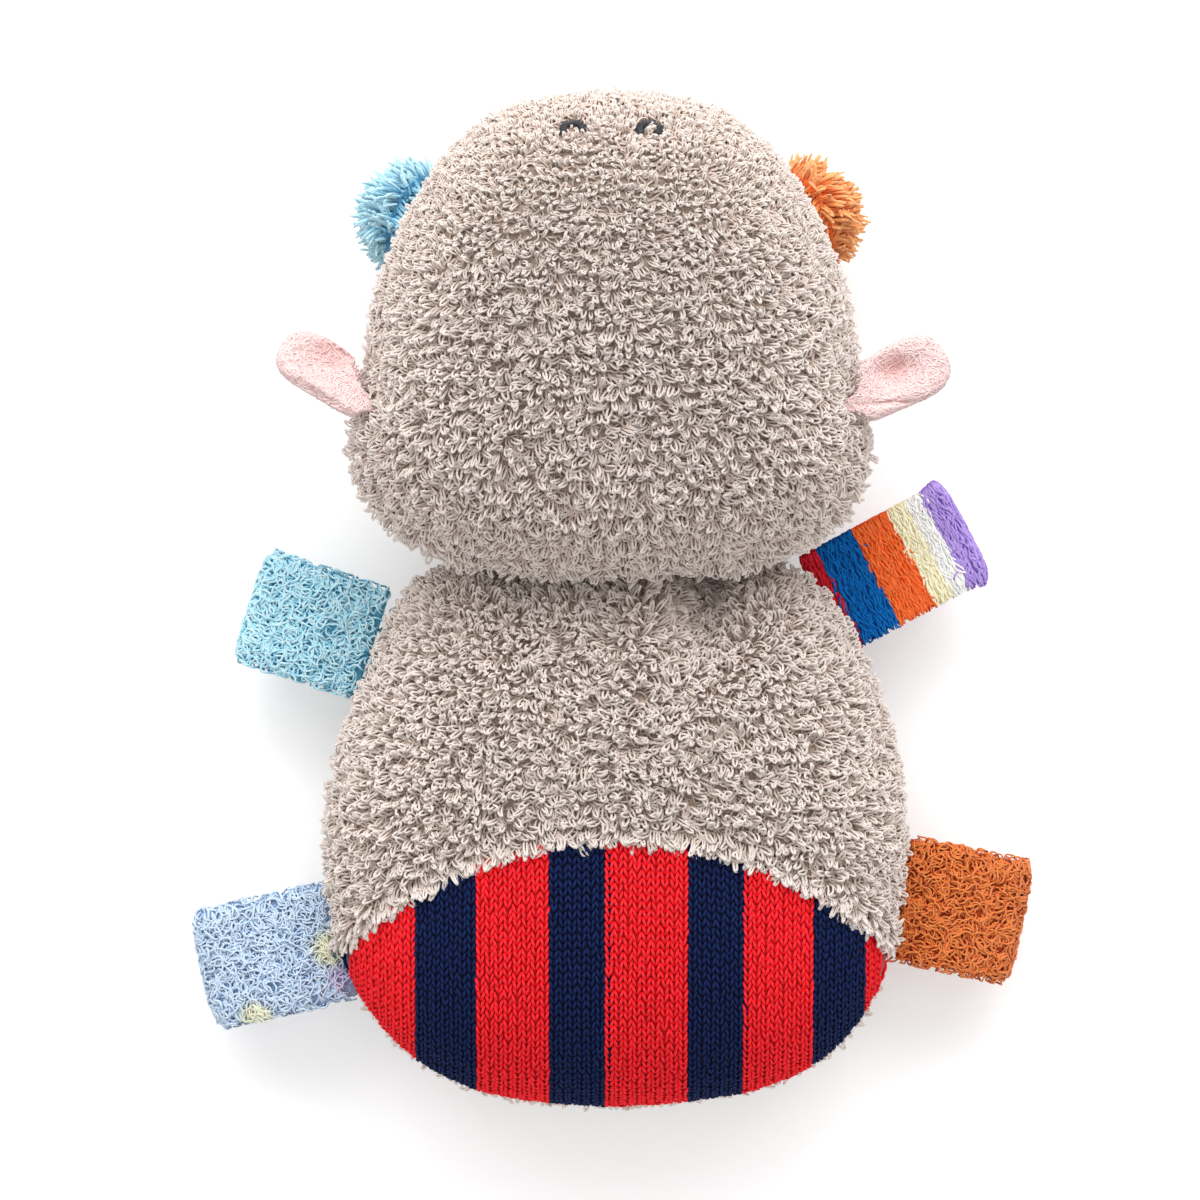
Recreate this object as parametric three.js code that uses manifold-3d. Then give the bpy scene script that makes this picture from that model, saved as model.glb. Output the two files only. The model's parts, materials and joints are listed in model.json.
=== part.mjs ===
// A terry-cloth baby's hippo, lying on its belly with its nose to +Y and its back up.
// Millimetres, +Z up. The origin is the middle of the whole toy's box, at floor level.
// Head, body and eyes are sewn cushions: terry panels round a stuffing, joined at a seam.
// Ears and the four folded tabs that serve as arms and legs are sewn on at their roots.
import * as THREE from "three";
import { mergeVertices } from "three/addons/utils/BufferGeometryUtils.js";
import Module from "manifold-3d";

const wasm = await Module();
wasm.setup();

// Cloth and clearances
const terryThickness = 3; // backing and pile of the grey terry
const seamGap = 0.3; // between pieces that are sewn together
const floorCut = 0.5; // how far the cushions flatten on the floor

// Body: an egg-shaped cushion, widest over the hips
const bodyLength = 132.8;
const bodyWidth = 141.6;
const bodyRear = -122.6; // y of the rear end
const bodyLean = 1; // the body lies this far to the right of the head
const bodyCrown = 38; // height of the back over its widest line
const bellyDepth = 18.5; // depth of the belly under its widest line, before it flattens
const bodyFullness = 2.25; // 2 is an ellipse, more is squarer
const bodyUnderFullness = 2.25;
const bodySeamRise = 2; // the side seam's height over the widest line
const bodyMiddle = 0.5; // share of the length from the rear to the highest point
// Half outline from the rear end to the neck, as shares of bodyLength and of half bodyWidth
const bodyOutline = [
  [0, 0],
  [0.017, 0.395],
  [0.063, 0.632],
  [0.139, 0.803],
  [0.254, 0.932],
  [0.467, 1],
  [0.69, 0.933],
  [0.863, 0.81],
  [0.931, 0.74],
  [0.976, 0.64],
  [0.996, 0.37],
  [1, 0],
];

// Striped seat: the part of the back behind an arc-shaped seam
const seatSeamRadius = 92;
const seatSeamFront = -57; // y of the foremost point of the arc

// Gathers that run back from the neck over the shoulders. Where each lies and half its breadth are
// shares of bodyWidth, and rise is its height.
const gathers = [
  { across: 0.02, rise: 2.6, spread: 0.05 },
  { across: 0.18, rise: -4, spread: 0.046 },
  { across: -0.15, rise: -1.8, spread: 0.05 },
  { across: -0.29, rise: -2.4, spread: 0.043 },
  { across: 0.31, rise: 1.6, spread: 0.05 },
];
const gatherFront = 4; // y where the gathers are deepest
const gatherLength = 34; // how far back they run out

// Head: a higher, broader cushion, blunt at the nose
const headLength = 118;
const headWidth = 124.8;
const headRear = 4;
const headCrown = 40;
const chinDepth = 38.5;
const headFullness = 2.35;
const headUnderFullness = 2; // the underside is rounder, so that it clears the arms
const headSeamRise = 3;
const headMiddle = 0.47;
// Half outline from the nape to the nose, as shares of headLength and of half headWidth
const headOutline = [
  [0, 0],
  [0.012, 0.385],
  [0.055, 0.689],
  [0.136, 0.897],
  [0.264, 1],
  [0.375, 0.968],
  [0.605, 0.9],
  [0.776, 0.765],
  [0.887, 0.615],
  [0.963, 0.42],
  [1, 0],
];

// Neck: the body ends in a round stub that sits in a round hollow of the head
const neckRadius = 20;
const neckBack = 16; // from the body's front edge back to the stub's middle
const neckMiddleHeight = 22;
const gatherThickness = 1.4; // the drawn-in cloth between stub and head
const shoulderRoom = 11; // between shoulders and head, where it turns towards them
const napeRoom = 5; // over the shoulders, where the head tips back
const gatherInner = 14; // degrees from the neck's axis to the ring's inner edge
const gatherOuter = 31; // degrees to its outer edge

// Eyes: stuffed balls under the sides of the head
const eyeRadius = 13.5;
const eyeTerry = 2.6;
const eyeAlong = 0.728; // share of headLength from the nape
const eyeInset = 3.6; // from the head's widest line in to the ball's middle
const eyeHeight = 21.5;

// Nostrils: embroidered arches on the top of the nose
const nostrilSpacing = 17.8;
const nostrilBack = 11.2; // from the tip of the nose
const nostrilWidth = 4.6;
const nostrilDepth = 3.4;
const nostrilThread = 1.5; // thickness of the satin stitching
const nostrilSink = -0.25; // the stitching bridges the facets of the head's top
const nostrilSweep = [-25, 205]; // degrees, from the arch's right foot over its top to its left foot

// Ears: soft ovals with a rolled rim round a hollow, sewn in where the seam draws the head in
const earLength = 26.5;
const earWidth = 20.5;
const earThickness = 7.5;
const earHollow = 3.2;
const earHollowShare = 0.55; // of the oval's breadth
const earRimPower = 0.8; // 1 is an ellipse, less is a fuller rim
const earRootShare = 0.66; // the oval narrows to this share of its width at the root
const earRise = 5; // above the head's seam
const earSink = 0.2; // how far the root sits in the head's cloth
const earSpan = 3.4; // length of the sewn root
const earClearance = 2.3; // beside the root, so that the ear can fold
const earAlong = 0.364; // share of headLength from the nape
const earPinch = 4; // how far the head is drawn in above the seam
const earPinchSpread = 13;
const ears = {
  left: { side: -1, heading: 149, roll: 34 },
  right: { side: 1, heading: 25, roll: -14 },
};

// Arms and legs: strips folded double, with their ends sewn into the side seam
const tabSlit = 0.8; // between the two layers
// Across a strip: shares of its width, and how full the strip is there
const tabStations = [-0.5, -0.47, -0.38, 0, 0.38, 0.47, 0.5];
const tabFullness = [0.62, 0.86, 1, 1.04, 1, 0.86, 0.62];
const tabRounding = [1.4, 0.5, 0, 0, 0, 0.5, 1.4]; // how far the fold's corners are drawn in
// along is a share of bodyLength, heading is in degrees from +X, and sink is how far the root
// sits in the body's cloth: little where the strip leaves the seam at a slant
const tabs = {
  arm_tab_left: {
    along: 0.841, side: -1, heading: 161.5, length: 25.9, width: 27.8, thickness: 8,
    sink: -0.1, droop: 5, color: 0x96d0e6,
  },
  arm_tab_right: {
    along: 0.918, side: 1, heading: 28, length: 32.8, width: 25.6, thickness: 5.6,
    sink: 0.1, droop: 3, color: 0xeb5a1e,
  },
  leg_tab_left: {
    along: 0.301, side: -1, heading: 193, length: 29.6, width: 30.2, thickness: 8,
    sink: 1.6, droop: 6, color: 0xbed4eb,
  },
  leg_tab_right: {
    along: 0.376, side: 1, heading: 348, length: 25.9, width: 30.2, thickness: 8,
    sink: 1.6, droop: 5, color: 0xd7783c,
  },
};

// Facets
const skinFacets = [48, 16]; // round the outline, and from top to bottom
const liningFacets = [28, 10];
const ballFacets = [18, 10];
const earFacets = [20, 12];
const pinchFullAt = 0.1; // share of the crown's height where the ears draw the head in most
const ringFacets = 28;
const loopCorners = 7; // round each end of a folded strip
const farOff = 400; // beyond the whole toy

// Heights worked out from the sizes above
const bodyWidest = bellyDepth - floorCut;
const headWidest = chinDepth - floorCut;
const bodySeam = bodyWidest + bodySeamRise;
const headSeam = headWidest + headSeamRise;
const neck = new THREE.Vector3(0, bodyRear + bodyLength - neckBack, neckMiddleHeight);
const headFront = headRear + headLength;

// Geometry with shared corners as a solid that can be cut and joined
function solid(geometry) {
  const bare = geometry.clone();
  bare.deleteAttribute("normal");
  bare.deleteAttribute("uv");
  const merged = mergeVertices(bare, 1e-4);
  return new wasm.Manifold(
    new wasm.Mesh({
      numProp: 3,
      vertProperties: new Float32Array(merged.attributes.position.array),
      triVerts: new Uint32Array(merged.index.array),
    }),
  );
}

function meshOf(name, shape, material) {
  const cut = shape.getMesh();
  const geometry = new THREE.BufferGeometry();
  geometry.setAttribute("position", new THREE.BufferAttribute(cut.vertProperties, 3));
  geometry.setIndex(new THREE.BufferAttribute(cut.triVerts, 1));
  geometry.computeVertexNormals();
  const mesh = new THREE.Mesh(geometry, material);
  mesh.name = name;
  return mesh;
}

function cloth(color, roughness = 0.95) {
  return new THREE.MeshStandardMaterial({ color, roughness, metalness: 0 });
}

// Everything between two levels
function slab(low, high) {
  const box = new THREE.BoxGeometry(farOff, farOff, high - low);
  box.translate(0, 0, (low + high) / 2);
  return solid(box);
}

function ball(centre, radius, facets = ballFacets) {
  const sphere = new THREE.SphereGeometry(radius, facets[0], facets[1]);
  sphere.translate(centre.x, centre.y, centre.z);
  return solid(sphere);
}

// An upright round post that reaches through every cushion
function post(x, y, radius) {
  const column = new THREE.CylinderGeometry(radius, radius, farOff, 96);
  column.rotateX(Math.PI / 2);
  column.translate(x, y, 0);
  return solid(column);
}

// A round bar between two points
function bar(from, to, radius) {
  const along = new THREE.Vector3().subVectors(to, from);
  const rod = new THREE.CylinderGeometry(radius, radius, along.length(), 20);
  const turn = new THREE.Quaternion().setFromUnitVectors(
    new THREE.Vector3(0, 1, 0),
    along.clone().normalize(),
  );
  rod.applyQuaternion(turn);
  const middle = new THREE.Vector3().addVectors(from, to).multiplyScalar(0.5);
  rod.translate(middle.x, middle.y, middle.z);
  return solid(rod);
}

// The sewn outline as a radius for each angle round a middle point
function radiusFinder(half, length, width, rear, middleY) {
  const right = half.map(([along, out]) => [out * width * 0.5, rear + along * length - middleY]);
  const left = right.slice(1, -1).reverse().map(([x, y]) => [-x, y]);
  const points = [...right, ...left].map(([x, y]) => new THREE.Vector3(x, y, 0));
  const samples = new THREE.CatmullRomCurve3(points, true, "centripetal").getPoints(720);
  const polar = samples.map((p) => [Math.atan2(p.y, p.x), Math.hypot(p.x, p.y)]);
  polar.sort((a, b) => a[0] - b[0]);
  return (angle) => {
    const turned = Math.atan2(Math.sin(angle), Math.cos(angle));
    let next = polar.findIndex((p) => p[0] > turned);
    if (next < 0) next = 0;
    const [a1, r1] = polar[next];
    const [a0, r0] = polar[(next + polar.length - 1) % polar.length];
    const gap = ((a1 - a0) % (2 * Math.PI) + 2 * Math.PI) % (2 * Math.PI) || 1;
    const share = (((turned - a0) % (2 * Math.PI)) + 2 * Math.PI) % (2 * Math.PI) / gap;
    return r0 + (r1 - r0) * Math.min(share, 1);
  };
}

// A cushion's sizes; its surface swells from the widest line up to the crown and down to the belly
const body = {
  x: bodyLean,
  y: bodyRear + bodyMiddle * bodyLength,
  widest: bodyWidest,
  crown: bodyCrown,
  depth: bellyDepth,
  fullness: bodyFullness,
  underFullness: bodyUnderFullness,
  folds: gatherRise,
  pinch: () => 0,
};
body.radius = radiusFinder(bodyOutline, bodyLength, bodyWidth, bodyRear, body.y);
const head = {
  x: 0,
  y: headRear + headMiddle * headLength,
  widest: headWidest,
  crown: headCrown,
  depth: chinDepth,
  fullness: headFullness,
  underFullness: headUnderFullness,
  folds: () => 0,
  pinch: earPinchAt,
};
head.radius = radiusFinder(headOutline, headLength, headWidth, headRear, head.y);

// How far the gathers lift or sink the back at a place
function gatherRise(x, y) {
  const fade = THREE.MathUtils.smoothstep(y, gatherFront - gatherLength, gatherFront);
  const at = x / bodyWidth;
  const waves = gathers.map((g) => g.rise * Math.exp(-(((at - g.across) / g.spread) ** 2)));
  return fade * waves.reduce((sum, wave) => sum + wave, 0);
}

// How far the ears' seams draw the head in, at a share of its crown height
function earPinchAt(y, level) {
  const earY = headRear + earAlong * headLength;
  const reach = Math.exp(-(((y - earY) / earPinchSpread) ** 2));
  return earPinch * reach * Math.min(1, level / pinchFullAt) * (1 - level) ** 2;
}

// The cushion drawn in by a distance all round, or let out by a negative one
function cushion(form, inset, facets) {
  const grid = new THREE.SphereGeometry(1, facets[0], facets[1]);
  grid.rotateX(Math.PI / 2);
  const at = grid.attributes.position;
  for (let i = 0; i < at.count; i++) {
    const angle = Math.atan2(at.getY(i), at.getX(i));
    const level = at.getZ(i);
    const power = 2 / (level > 0 ? form.fullness : form.underFullness);
    const plain = Math.hypot(at.getX(i), at.getY(i)) ** power * (form.radius(angle) - inset);
    const tall = (level > 0 ? form.crown : form.depth) - inset;
    const drawn = level > 0 ? form.pinch(form.y + plain * Math.sin(angle), level) : 0;
    const out = plain - drawn * Math.abs(Math.cos(angle));
    const x = form.x + out * Math.cos(angle);
    const y = form.y + out * Math.sin(angle);
    const lift = level > 0 ? form.folds(x, y) * level ** 0.5 : 0;
    const rise = Math.sign(level) * Math.abs(level) ** power * tall;
    at.setXYZ(i, x, y, form.widest + rise + lift);
  }
  return solid(grid);
}

// Height of a cushion's top over a place
function topOf(form, x, y) {
  const angle = Math.atan2(y - form.y, x - form.x);
  const share = Math.min(1, Math.hypot(x - form.x, y - form.y) / form.radius(angle));
  const level = (1 - share ** form.fullness) ** (1 / form.fullness);
  return form.widest + form.crown * level + form.folds(x, y) * level ** 0.5;
}

// The point of a cushion's outline on one side, at a share of its length
function edgePoint(form, rear, length, along, side) {
  const y = rear + along * length - form.y;
  let low = side > 0 ? -Math.PI / 2 : Math.PI / 2;
  let high = side > 0 ? Math.PI / 2 : (3 * Math.PI) / 2;
  for (let step = 0; step < 40; step++) {
    const angle = (low + high) / 2;
    const above = form.radius(angle) * Math.sin(angle) > y;
    if (above === side > 0) high = angle;
    else low = angle;
  }
  const out = form.radius(low);
  return new THREE.Vector3(form.x + out * Math.cos(low), form.y + out * Math.sin(low), form.widest);
}

// Direction in the floor plane, in degrees from +X
function facing(degrees) {
  const angle = THREE.MathUtils.degToRad(degrees);
  return new THREE.Vector3(Math.cos(angle), Math.sin(angle), 0);
}

// Where a flap is sewn on: the line that it folds about, and the groove that its root sits in
function rootOf(edge, heading, radius, sink, span) {
  const out = facing(heading);
  const across = new THREE.Vector3(out.y, -out.x, 0);
  const axis = edge.clone().addScaledVector(out, radius - sink);
  const half = across.clone().multiplyScalar(span / 2);
  const groove = bar(
    axis.clone().sub(half),
    axis.clone().add(half),
    radius + seamGap,
  );
  return { axis, out, across, groove };
}

// Body pieces

function bodyShape(inset, facets) {
  return cushion(body, inset, facets).add(ball(neck, neckRadius - inset, facets));
}

function buildBody(grooves) {
  const shell = bodyShape(0, skinFacets).subtract(bodyShape(terryThickness, liningFacets));
  const above = shell.intersect(slab(bodySeam + seamGap / 2, farOff));
  const below = shell.intersect(slab(0, bodySeam - seamGap / 2));
  const seatMiddle = seatSeamFront - seatSeamRadius;
  const front = above.subtract(post(bodyLean, seatMiddle, seatSeamRadius + seamGap / 2));
  const seat = above.intersect(post(bodyLean, seatMiddle, seatSeamRadius - seamGap / 2));
  const stuffing = bodyShape(terryThickness + seamGap, liningFacets);
  const cutAll = (shape) => grooves.reduce((rest, groove) => rest.subtract(groove), shape);
  return [
    meshOf("back_panel", cutAll(front), cloth(0xc6bbb3)),
    meshOf("belly_panel", cutAll(below), cloth(0xc6bbb3)),
    meshOf("seat_panel", cutAll(seat), cloth(0xd71423, 0.9)),
    meshOf("body_stuffing", stuffing, cloth(0xf4f2ee)),
  ];
}

// The ring of drawn-in cloth between the neck stub and the head
function buildNeckGather() {
  const inner = neckRadius + seamGap;
  const outer = inner + gatherThickness;
  const profile = [];
  const steps = 3;
  const angles = Array.from({ length: steps + 1 }, (_, i) =>
    THREE.MathUtils.degToRad(gatherInner + ((gatherOuter - gatherInner) * i) / steps),
  );
  angles.forEach((a) => profile.push(new THREE.Vector2(outer * Math.sin(a), outer * Math.cos(a))));
  angles.reverse();
  angles.forEach((a) => profile.push(new THREE.Vector2(inner * Math.sin(a), inner * Math.cos(a))));
  profile.push(profile[0].clone());
  const ring = new THREE.LatheGeometry(profile.reverse(), ringFacets);
  ring.translate(neck.x, neck.y, neck.z);
  return meshOf("neck_gather", solid(ring), cloth(0xb4a9a1));
}

// Head pieces

// The head drawn in by a distance, with the hollow where neck and shoulders press into it
function headShape(inset, facets) {
  const socket = neckRadius + 2 * seamGap + gatherThickness;
  const shoulders = {
    ...body,
    radius: (angle) => body.radius(angle) + seamGap + shoulderRoom * Math.abs(Math.cos(angle)),
    crown: body.crown + napeRoom,
  };
  return cushion(head, inset, facets)
    .subtract(ball(neck, socket + inset, facets))
    .subtract(cushion(shoulders, -inset, facets));
}

function buildHead(grooves) {
  const outside = headShape(0, skinFacets);
  const inside = headShape(terryThickness, liningFacets);
  const stuffing = headShape(terryThickness + seamGap, liningFacets);
  const shell = grooves.reduce(
    (rest, groove) => rest.subtract(groove),
    outside.subtract(inside),
  );
  const above = shell.intersect(slab(headSeam + seamGap / 2, farOff));
  const below = shell.intersect(slab(0, headSeam - seamGap / 2));
  return [
    meshOf("head_top_panel", above, cloth(0xc6bbb3)),
    meshOf("head_under_panel", below, cloth(0xc9bab2)),
    meshOf("head_stuffing", stuffing, cloth(0xf4f2ee)),
  ];
}

function buildEye(name, side, color) {
  const edge = edgePoint(head, headRear, headLength, eyeAlong, side);
  const centre = new THREE.Vector3(edge.x - side * eyeInset, edge.y, eyeHeight);
  const headSpace = cushion(head, -seamGap, skinFacets);
  const skin = ball(centre, eyeRadius).subtract(ball(centre, eyeRadius - eyeTerry));
  const filling = ball(centre, eyeRadius - eyeTerry - seamGap);
  return [
    meshOf("eye_ball_" + name, skin.subtract(headSpace), cloth(color)),
    meshOf("eye_stuffing_" + name, filling.subtract(headSpace), cloth(0xf4f2ee)),
  ];
}

// A satin-stitched arch that lies on the top of the nose
function buildNostril(name, side) {
  const middleX = (side * nostrilSpacing) / 2;
  const backY = headFront - nostrilBack;
  const lift = nostrilThread / 2 + seamGap - nostrilSink;
  const [first, last] = nostrilSweep;
  const path = [];
  const steps = 10;
  for (let i = 0; i <= steps; i++) {
    const angle = THREE.MathUtils.degToRad(first + ((last - first) * i) / steps);
    const x = middleX + (nostrilWidth / 2) * Math.cos(angle);
    const y = backY + (nostrilDepth / 2) * Math.sin(angle);
    path.push(new THREE.Vector3(x, y, topOf(head, x, y)).add(outwards(x, y).multiplyScalar(lift)));
  }
  const section = new THREE.Shape();
  section.absarc(0, 0, nostrilThread / 2, 0, 2 * Math.PI, false);
  const arch = new THREE.ExtrudeGeometry(section, {
    extrudePath: new THREE.CatmullRomCurve3(path),
    steps: 14,
    curveSegments: 3,
  });
  return meshOf("nostril_" + name, solid(arch), cloth(0x3c3e44, 0.6));
}

// The head's outward direction at a place on its top
function outwards(x, y) {
  const step = 0.5;
  const slopeX = (topOf(head, x + step, y) - topOf(head, x - step, y)) / (2 * step);
  const slopeY = (topOf(head, x, y + step) - topOf(head, x, y - step)) / (2 * step);
  return new THREE.Vector3(-slopeX, -slopeY, 1).normalize();
}

function earRoot({ side, heading, roll }) {
  const edge = edgePoint(head, headRear, headLength, earAlong, side);
  edge.x -= side * earPinch;
  edge.z = headSeam + earRise;
  return { ...rootOf(edge, heading, earThickness / 2, earSink, earSpan), roll };
}

// An oval whose top is hollowed inside a rolled rim
function buildEar(name, root) {
  const oval = new THREE.SphereGeometry(1, earFacets[0], earFacets[1]);
  oval.rotateX(Math.PI / 2);
  const at = oval.attributes.position;
  for (let i = 0; i < at.count; i++) {
    const out = Math.hypot(at.getX(i), at.getY(i));
    const level = at.getZ(i);
    const hollow = level > 0 ? earHollow * Math.exp(-((out / earHollowShare) ** 2)) : 0;
    const rim = Math.sign(level) * Math.abs(level) ** earRimPower * (earThickness / 2);
    const taper = earRootShare + (1 - earRootShare) * (at.getX(i) / 2 + 0.5);
    const across = (at.getY(i) * taper * earWidth) / 2;
    const blunt = (at.getX(i) + Math.sin((at.getX(i) * Math.PI) / 2)) / 2;
    at.setXYZ(i, (blunt * earLength) / 2, across, rim - hollow);
  }
  oval.translate(earLength / 2 - earThickness / 2, 0, 0);
  oval.rotateX(THREE.MathUtils.degToRad(root.roll));
  oval.rotateZ(Math.atan2(root.out.y, root.out.x));
  oval.translate(root.axis.x, root.axis.y, root.axis.z);
  const headSpace = cushion(head, -earClearance, skinFacets).subtract(root.groove);
  return meshOf("ear_" + name, solid(oval).subtract(headSpace), cloth(0xf5d7d5));
}

// Folded tabs

function tabRoot({ along, side, heading, width, thickness, sink }) {
  const edge = edgePoint(body, bodyRear, bodyLength, along, side);
  return rootOf(edge, heading, thickness / 2, sink, width + 2 * seamGap);
}

// Side view of the strip: a flat loop, round at the root and at the fold, where it ends
function tabLoop(end, thickness, droop) {
  const half = thickness / 2;
  const ends = [
    { middle: 0, from: Math.PI / 2 },
    { middle: end - half, from: -Math.PI / 2 },
  ];
  const loop = [];
  for (const { middle, from } of ends) {
    for (let i = 0; i < loopCorners; i++) {
      const angle = from + (Math.PI * i) / (loopCorners - 1);
      const u = middle + half * Math.cos(angle);
      const share = THREE.MathUtils.clamp(u / end, 0, 1);
      loop.push([u, half * Math.sin(angle) - droop * share * share]);
    }
  }
  return loop;
}

// Two layers joined at the root and at the fold, with a slit between them that opens at the sides
function buildTab(name, tab, root) {
  const slitStart = tab.thickness / 4;
  const slitEnd = tab.length - (tab.thickness + tabSlit) / 2;
  const slit = tabLoop(slitEnd, tabSlit, tab.droop).map(([u, w]) => [u + slitStart, w]);
  const outside = tabStations.map((share, i) => ({
    v: share * tab.width,
    loop: tabLoop(tab.length - tabRounding[i], tab.thickness * tabFullness[i], tab.droop),
  }));
  const inside = tabStations.map((share) => ({ v: share * tab.width, loop: slit })).reverse();
  const rings = [...outside, ...inside];
  const around = rings[0].loop.length;
  const corners = [];
  for (const { v, loop } of rings) {
    for (const [u, w] of loop) {
      corners.push(
        root.axis.x + u * root.out.x + v * root.across.x,
        root.axis.y + u * root.out.y + v * root.across.y,
        root.axis.z + w,
      );
    }
  }
  const faces = [];
  rings.forEach((ring, i) => {
    const next = (i + 1) % rings.length;
    for (let j = 0; j < around; j++) {
      const k = (j + 1) % around;
      const [a, b] = [i * around + j, i * around + k];
      const [c, d] = [next * around + j, next * around + k];
      faces.push(a, b, c, b, d, c);
    }
  });
  const strip = new THREE.BufferGeometry();
  strip.setAttribute("position", new THREE.Float32BufferAttribute(corners, 3));
  strip.setIndex(faces);
  return meshOf(name, solid(strip), cloth(tab.color));
}

// The whole toy
const toy = new THREE.Group();
const earRoots = Object.entries(ears).map(([name, ear]) => [name, earRoot(ear)]);
const tabRoots = Object.entries(tabs).map(([name, tab]) => [name, tab, tabRoot(tab)]);
toy.add(...buildBody(tabRoots.map(([, , root]) => root.groove)));
toy.add(buildNeckGather());
toy.add(...buildHead(earRoots.map(([, root]) => root.groove)));
toy.add(...buildEye("left", -1, 0xa0d2e8), ...buildEye("right", 1, 0xf27332));
toy.add(buildNostril("left", -1), buildNostril("right", 1));
earRoots.forEach(([name, root]) => toy.add(buildEar(name, root)));
tabRoots.forEach(([name, tab, root]) => toy.add(buildTab(name, tab, root)));

const box = new THREE.Box3().setFromObject(toy);
toy.position.set(-(box.min.x + box.max.x) / 2, -(box.min.y + box.max.y) / 2, -box.min.z);

export default toy;
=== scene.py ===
import json
from math import cos, pi, radians, sin, sqrt

import bmesh
import bpy
import numpy as np
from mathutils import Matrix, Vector, kdtree
from mathutils.bvhtree import BVHTree


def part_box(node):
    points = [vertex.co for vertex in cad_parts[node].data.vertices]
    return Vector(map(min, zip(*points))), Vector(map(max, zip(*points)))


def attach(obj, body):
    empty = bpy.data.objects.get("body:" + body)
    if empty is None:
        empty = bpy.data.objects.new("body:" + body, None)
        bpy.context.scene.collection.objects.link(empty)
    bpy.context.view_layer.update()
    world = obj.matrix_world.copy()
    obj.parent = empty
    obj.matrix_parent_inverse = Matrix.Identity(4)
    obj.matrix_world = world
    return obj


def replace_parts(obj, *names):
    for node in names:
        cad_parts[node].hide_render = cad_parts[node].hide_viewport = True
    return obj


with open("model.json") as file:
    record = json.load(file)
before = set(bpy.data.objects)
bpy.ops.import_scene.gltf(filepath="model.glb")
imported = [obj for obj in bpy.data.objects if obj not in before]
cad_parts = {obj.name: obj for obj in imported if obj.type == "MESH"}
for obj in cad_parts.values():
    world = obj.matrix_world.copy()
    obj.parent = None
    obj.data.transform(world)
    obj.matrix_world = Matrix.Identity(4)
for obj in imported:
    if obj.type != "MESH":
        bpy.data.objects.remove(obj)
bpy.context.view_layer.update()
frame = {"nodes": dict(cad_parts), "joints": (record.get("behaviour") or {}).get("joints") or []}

MM = 0.001

# Skins
SIM_VOXEL = 4.2 * MM  # size of the cells that a cushion's skin is rebuilt from
PILE_ROOM = 1.5 * MM  # from the CAD skin in to the cloth that carries the loops
STUFFING = {  # settings of the cloth simulation
    "use_pressure": True,
    "uniform_pressure_force": 4,
    "quality": 6,
    "tension_stiffness": 12,
    "bending_stiffness": 0.4,
}
STUFFING_STEPS = 20
STUFFING_CAP = 1.6 * MM  # the most that a point may swell
LEAST_SWELL = 0.7  # share of the cap
USUAL_SWELL = 0.8  # the same
CLOTH_THICKNESS = 0.7 * MM
FILLING_ROOM = 1.2 * MM  # between a cushion's cloth and its filling
SEAM_DEPTH = 1.0 * MM
SEAM_BREADTH = 1.8 * MM

# Terry loops
LOOP_RINGS = 10
LOOP_SIDES = 4
LOOP_SWERVE = radians(20)  # spread of the ways that neighbours fall
LOOP_HEIGHTS = (0.78, 1.22)  # shares of the usual height
LOOP_WIDTHS = (0.75, 1.25)  # shares of the usual width
LOOP_TILTS = (20, 60)  # degrees from upright, at the foot of a loop that falls all the way
LOOP_SKEW = 0.22  # spread of the shares of its width that a loop's tip lies aside
STRAND_GAP = 0.5 * MM  # between the strands of one loop, along the way that it falls
STRAND_JITTER = 0.06 * MM
ROW_PITCH = 3.1 * MM
SCATTER_TRIES = 5  # for each place that a square of the spacing gives
# painted light and shade: lighter pile on slopes, darker pile on flat tops
SLOPE_PAINTED_LIGHT = 0.58  # added to the shade of pile that lies over a slope
OVERHANG = 0.9 * MM  # the most that a flat strand may leave its cloth
OVER_FLOOR = 0.05 * MM
OFF_SKIN = 0.05 * MM  # where a ray starts, so that it doesn't meet the skin that it leaves
STRAND_THICKNESS = (0.87, 1.13)  # shares of a strand's usual one
MOST_FACES = 190000  # in one piece of pile

# Seat
SEAT_RADIUS = 92 * MM
SEAT_LEVEL_Y = -86 * MM
SEAT_RISE = 1.3 * MM
SEAT_EDGES = (3 * MM, 2 * MM)  # over which it rises, from its arc and from the body's seam
SEAM_PULL = 5 * MM  # how far from the arc the pile falls towards it
KNIT_EDGES = (0.2 * MM, 0.4 * MM)  # from the arc and the body's seam to the knit
WALE = 2.2 * MM
COURSE = 1.85 * MM
KNIT_RADIUS = 0.46 * MM
KNIT_JITTER = 0.1 * MM
LEG_RINGS = 7  # of yarn in one leg of a stitch
STRIPE_SPAN = 80 * MM
GRAIN = 900  # cells of the woven ground in a metre
STRIPES = [x * MM for x in (-62, -47.2, -33, -15.2, -0.6, 17.4, 32.3, 47.9, 59.9)]

# Picture
VIEW_WIDTH = 288 * MM
VIEW_MIDDLE = (-2.76 * MM, -0.6 * MM)
VIEW_LEVEL = 30 * MM
CAMERA_HEIGHT = 2.4
SENSOR = 36
FLOOR_HALF = 3  # in metres
PAPER = (0.93, 0.93, 0.93, 1)
WHITE = (1, 1, 1, 1)
FLOOR_GLOW = 0.3  # lights nothing, so that the paper stays white round pale shadows
SKY_STRENGTH = 0.7
LAMPS = {  # place in metres, sizes, power
    "softbox_front": ((0, 2.6, 1.7), (2.6, 1.4), 50),
    "softbox_left": ((-1.5, 2.0, 1.9), (1.8, 1.4), 22),
    "softbox_right": ((1.5, 2.0, 1.9), (1.8, 1.4), 22),
}


def srgb(red, green, blue):
    """A colour of the screen, 0 to 255, as the linear values that shaders take."""
    out = []
    for value in (red, green, blue):
        share = value / 255
        out.append(share / 12.92 if share <= 0.04045 else ((share + 0.055) / 1.055) ** 2.4)
    return (*out, 1)


def random(seed):
    return np.random.default_rng(seed)


def unit(vectors):
    return vectors / np.maximum(np.linalg.norm(vectors, axis=-1, keepdims=True), 1e-12)


# Meshes


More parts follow.
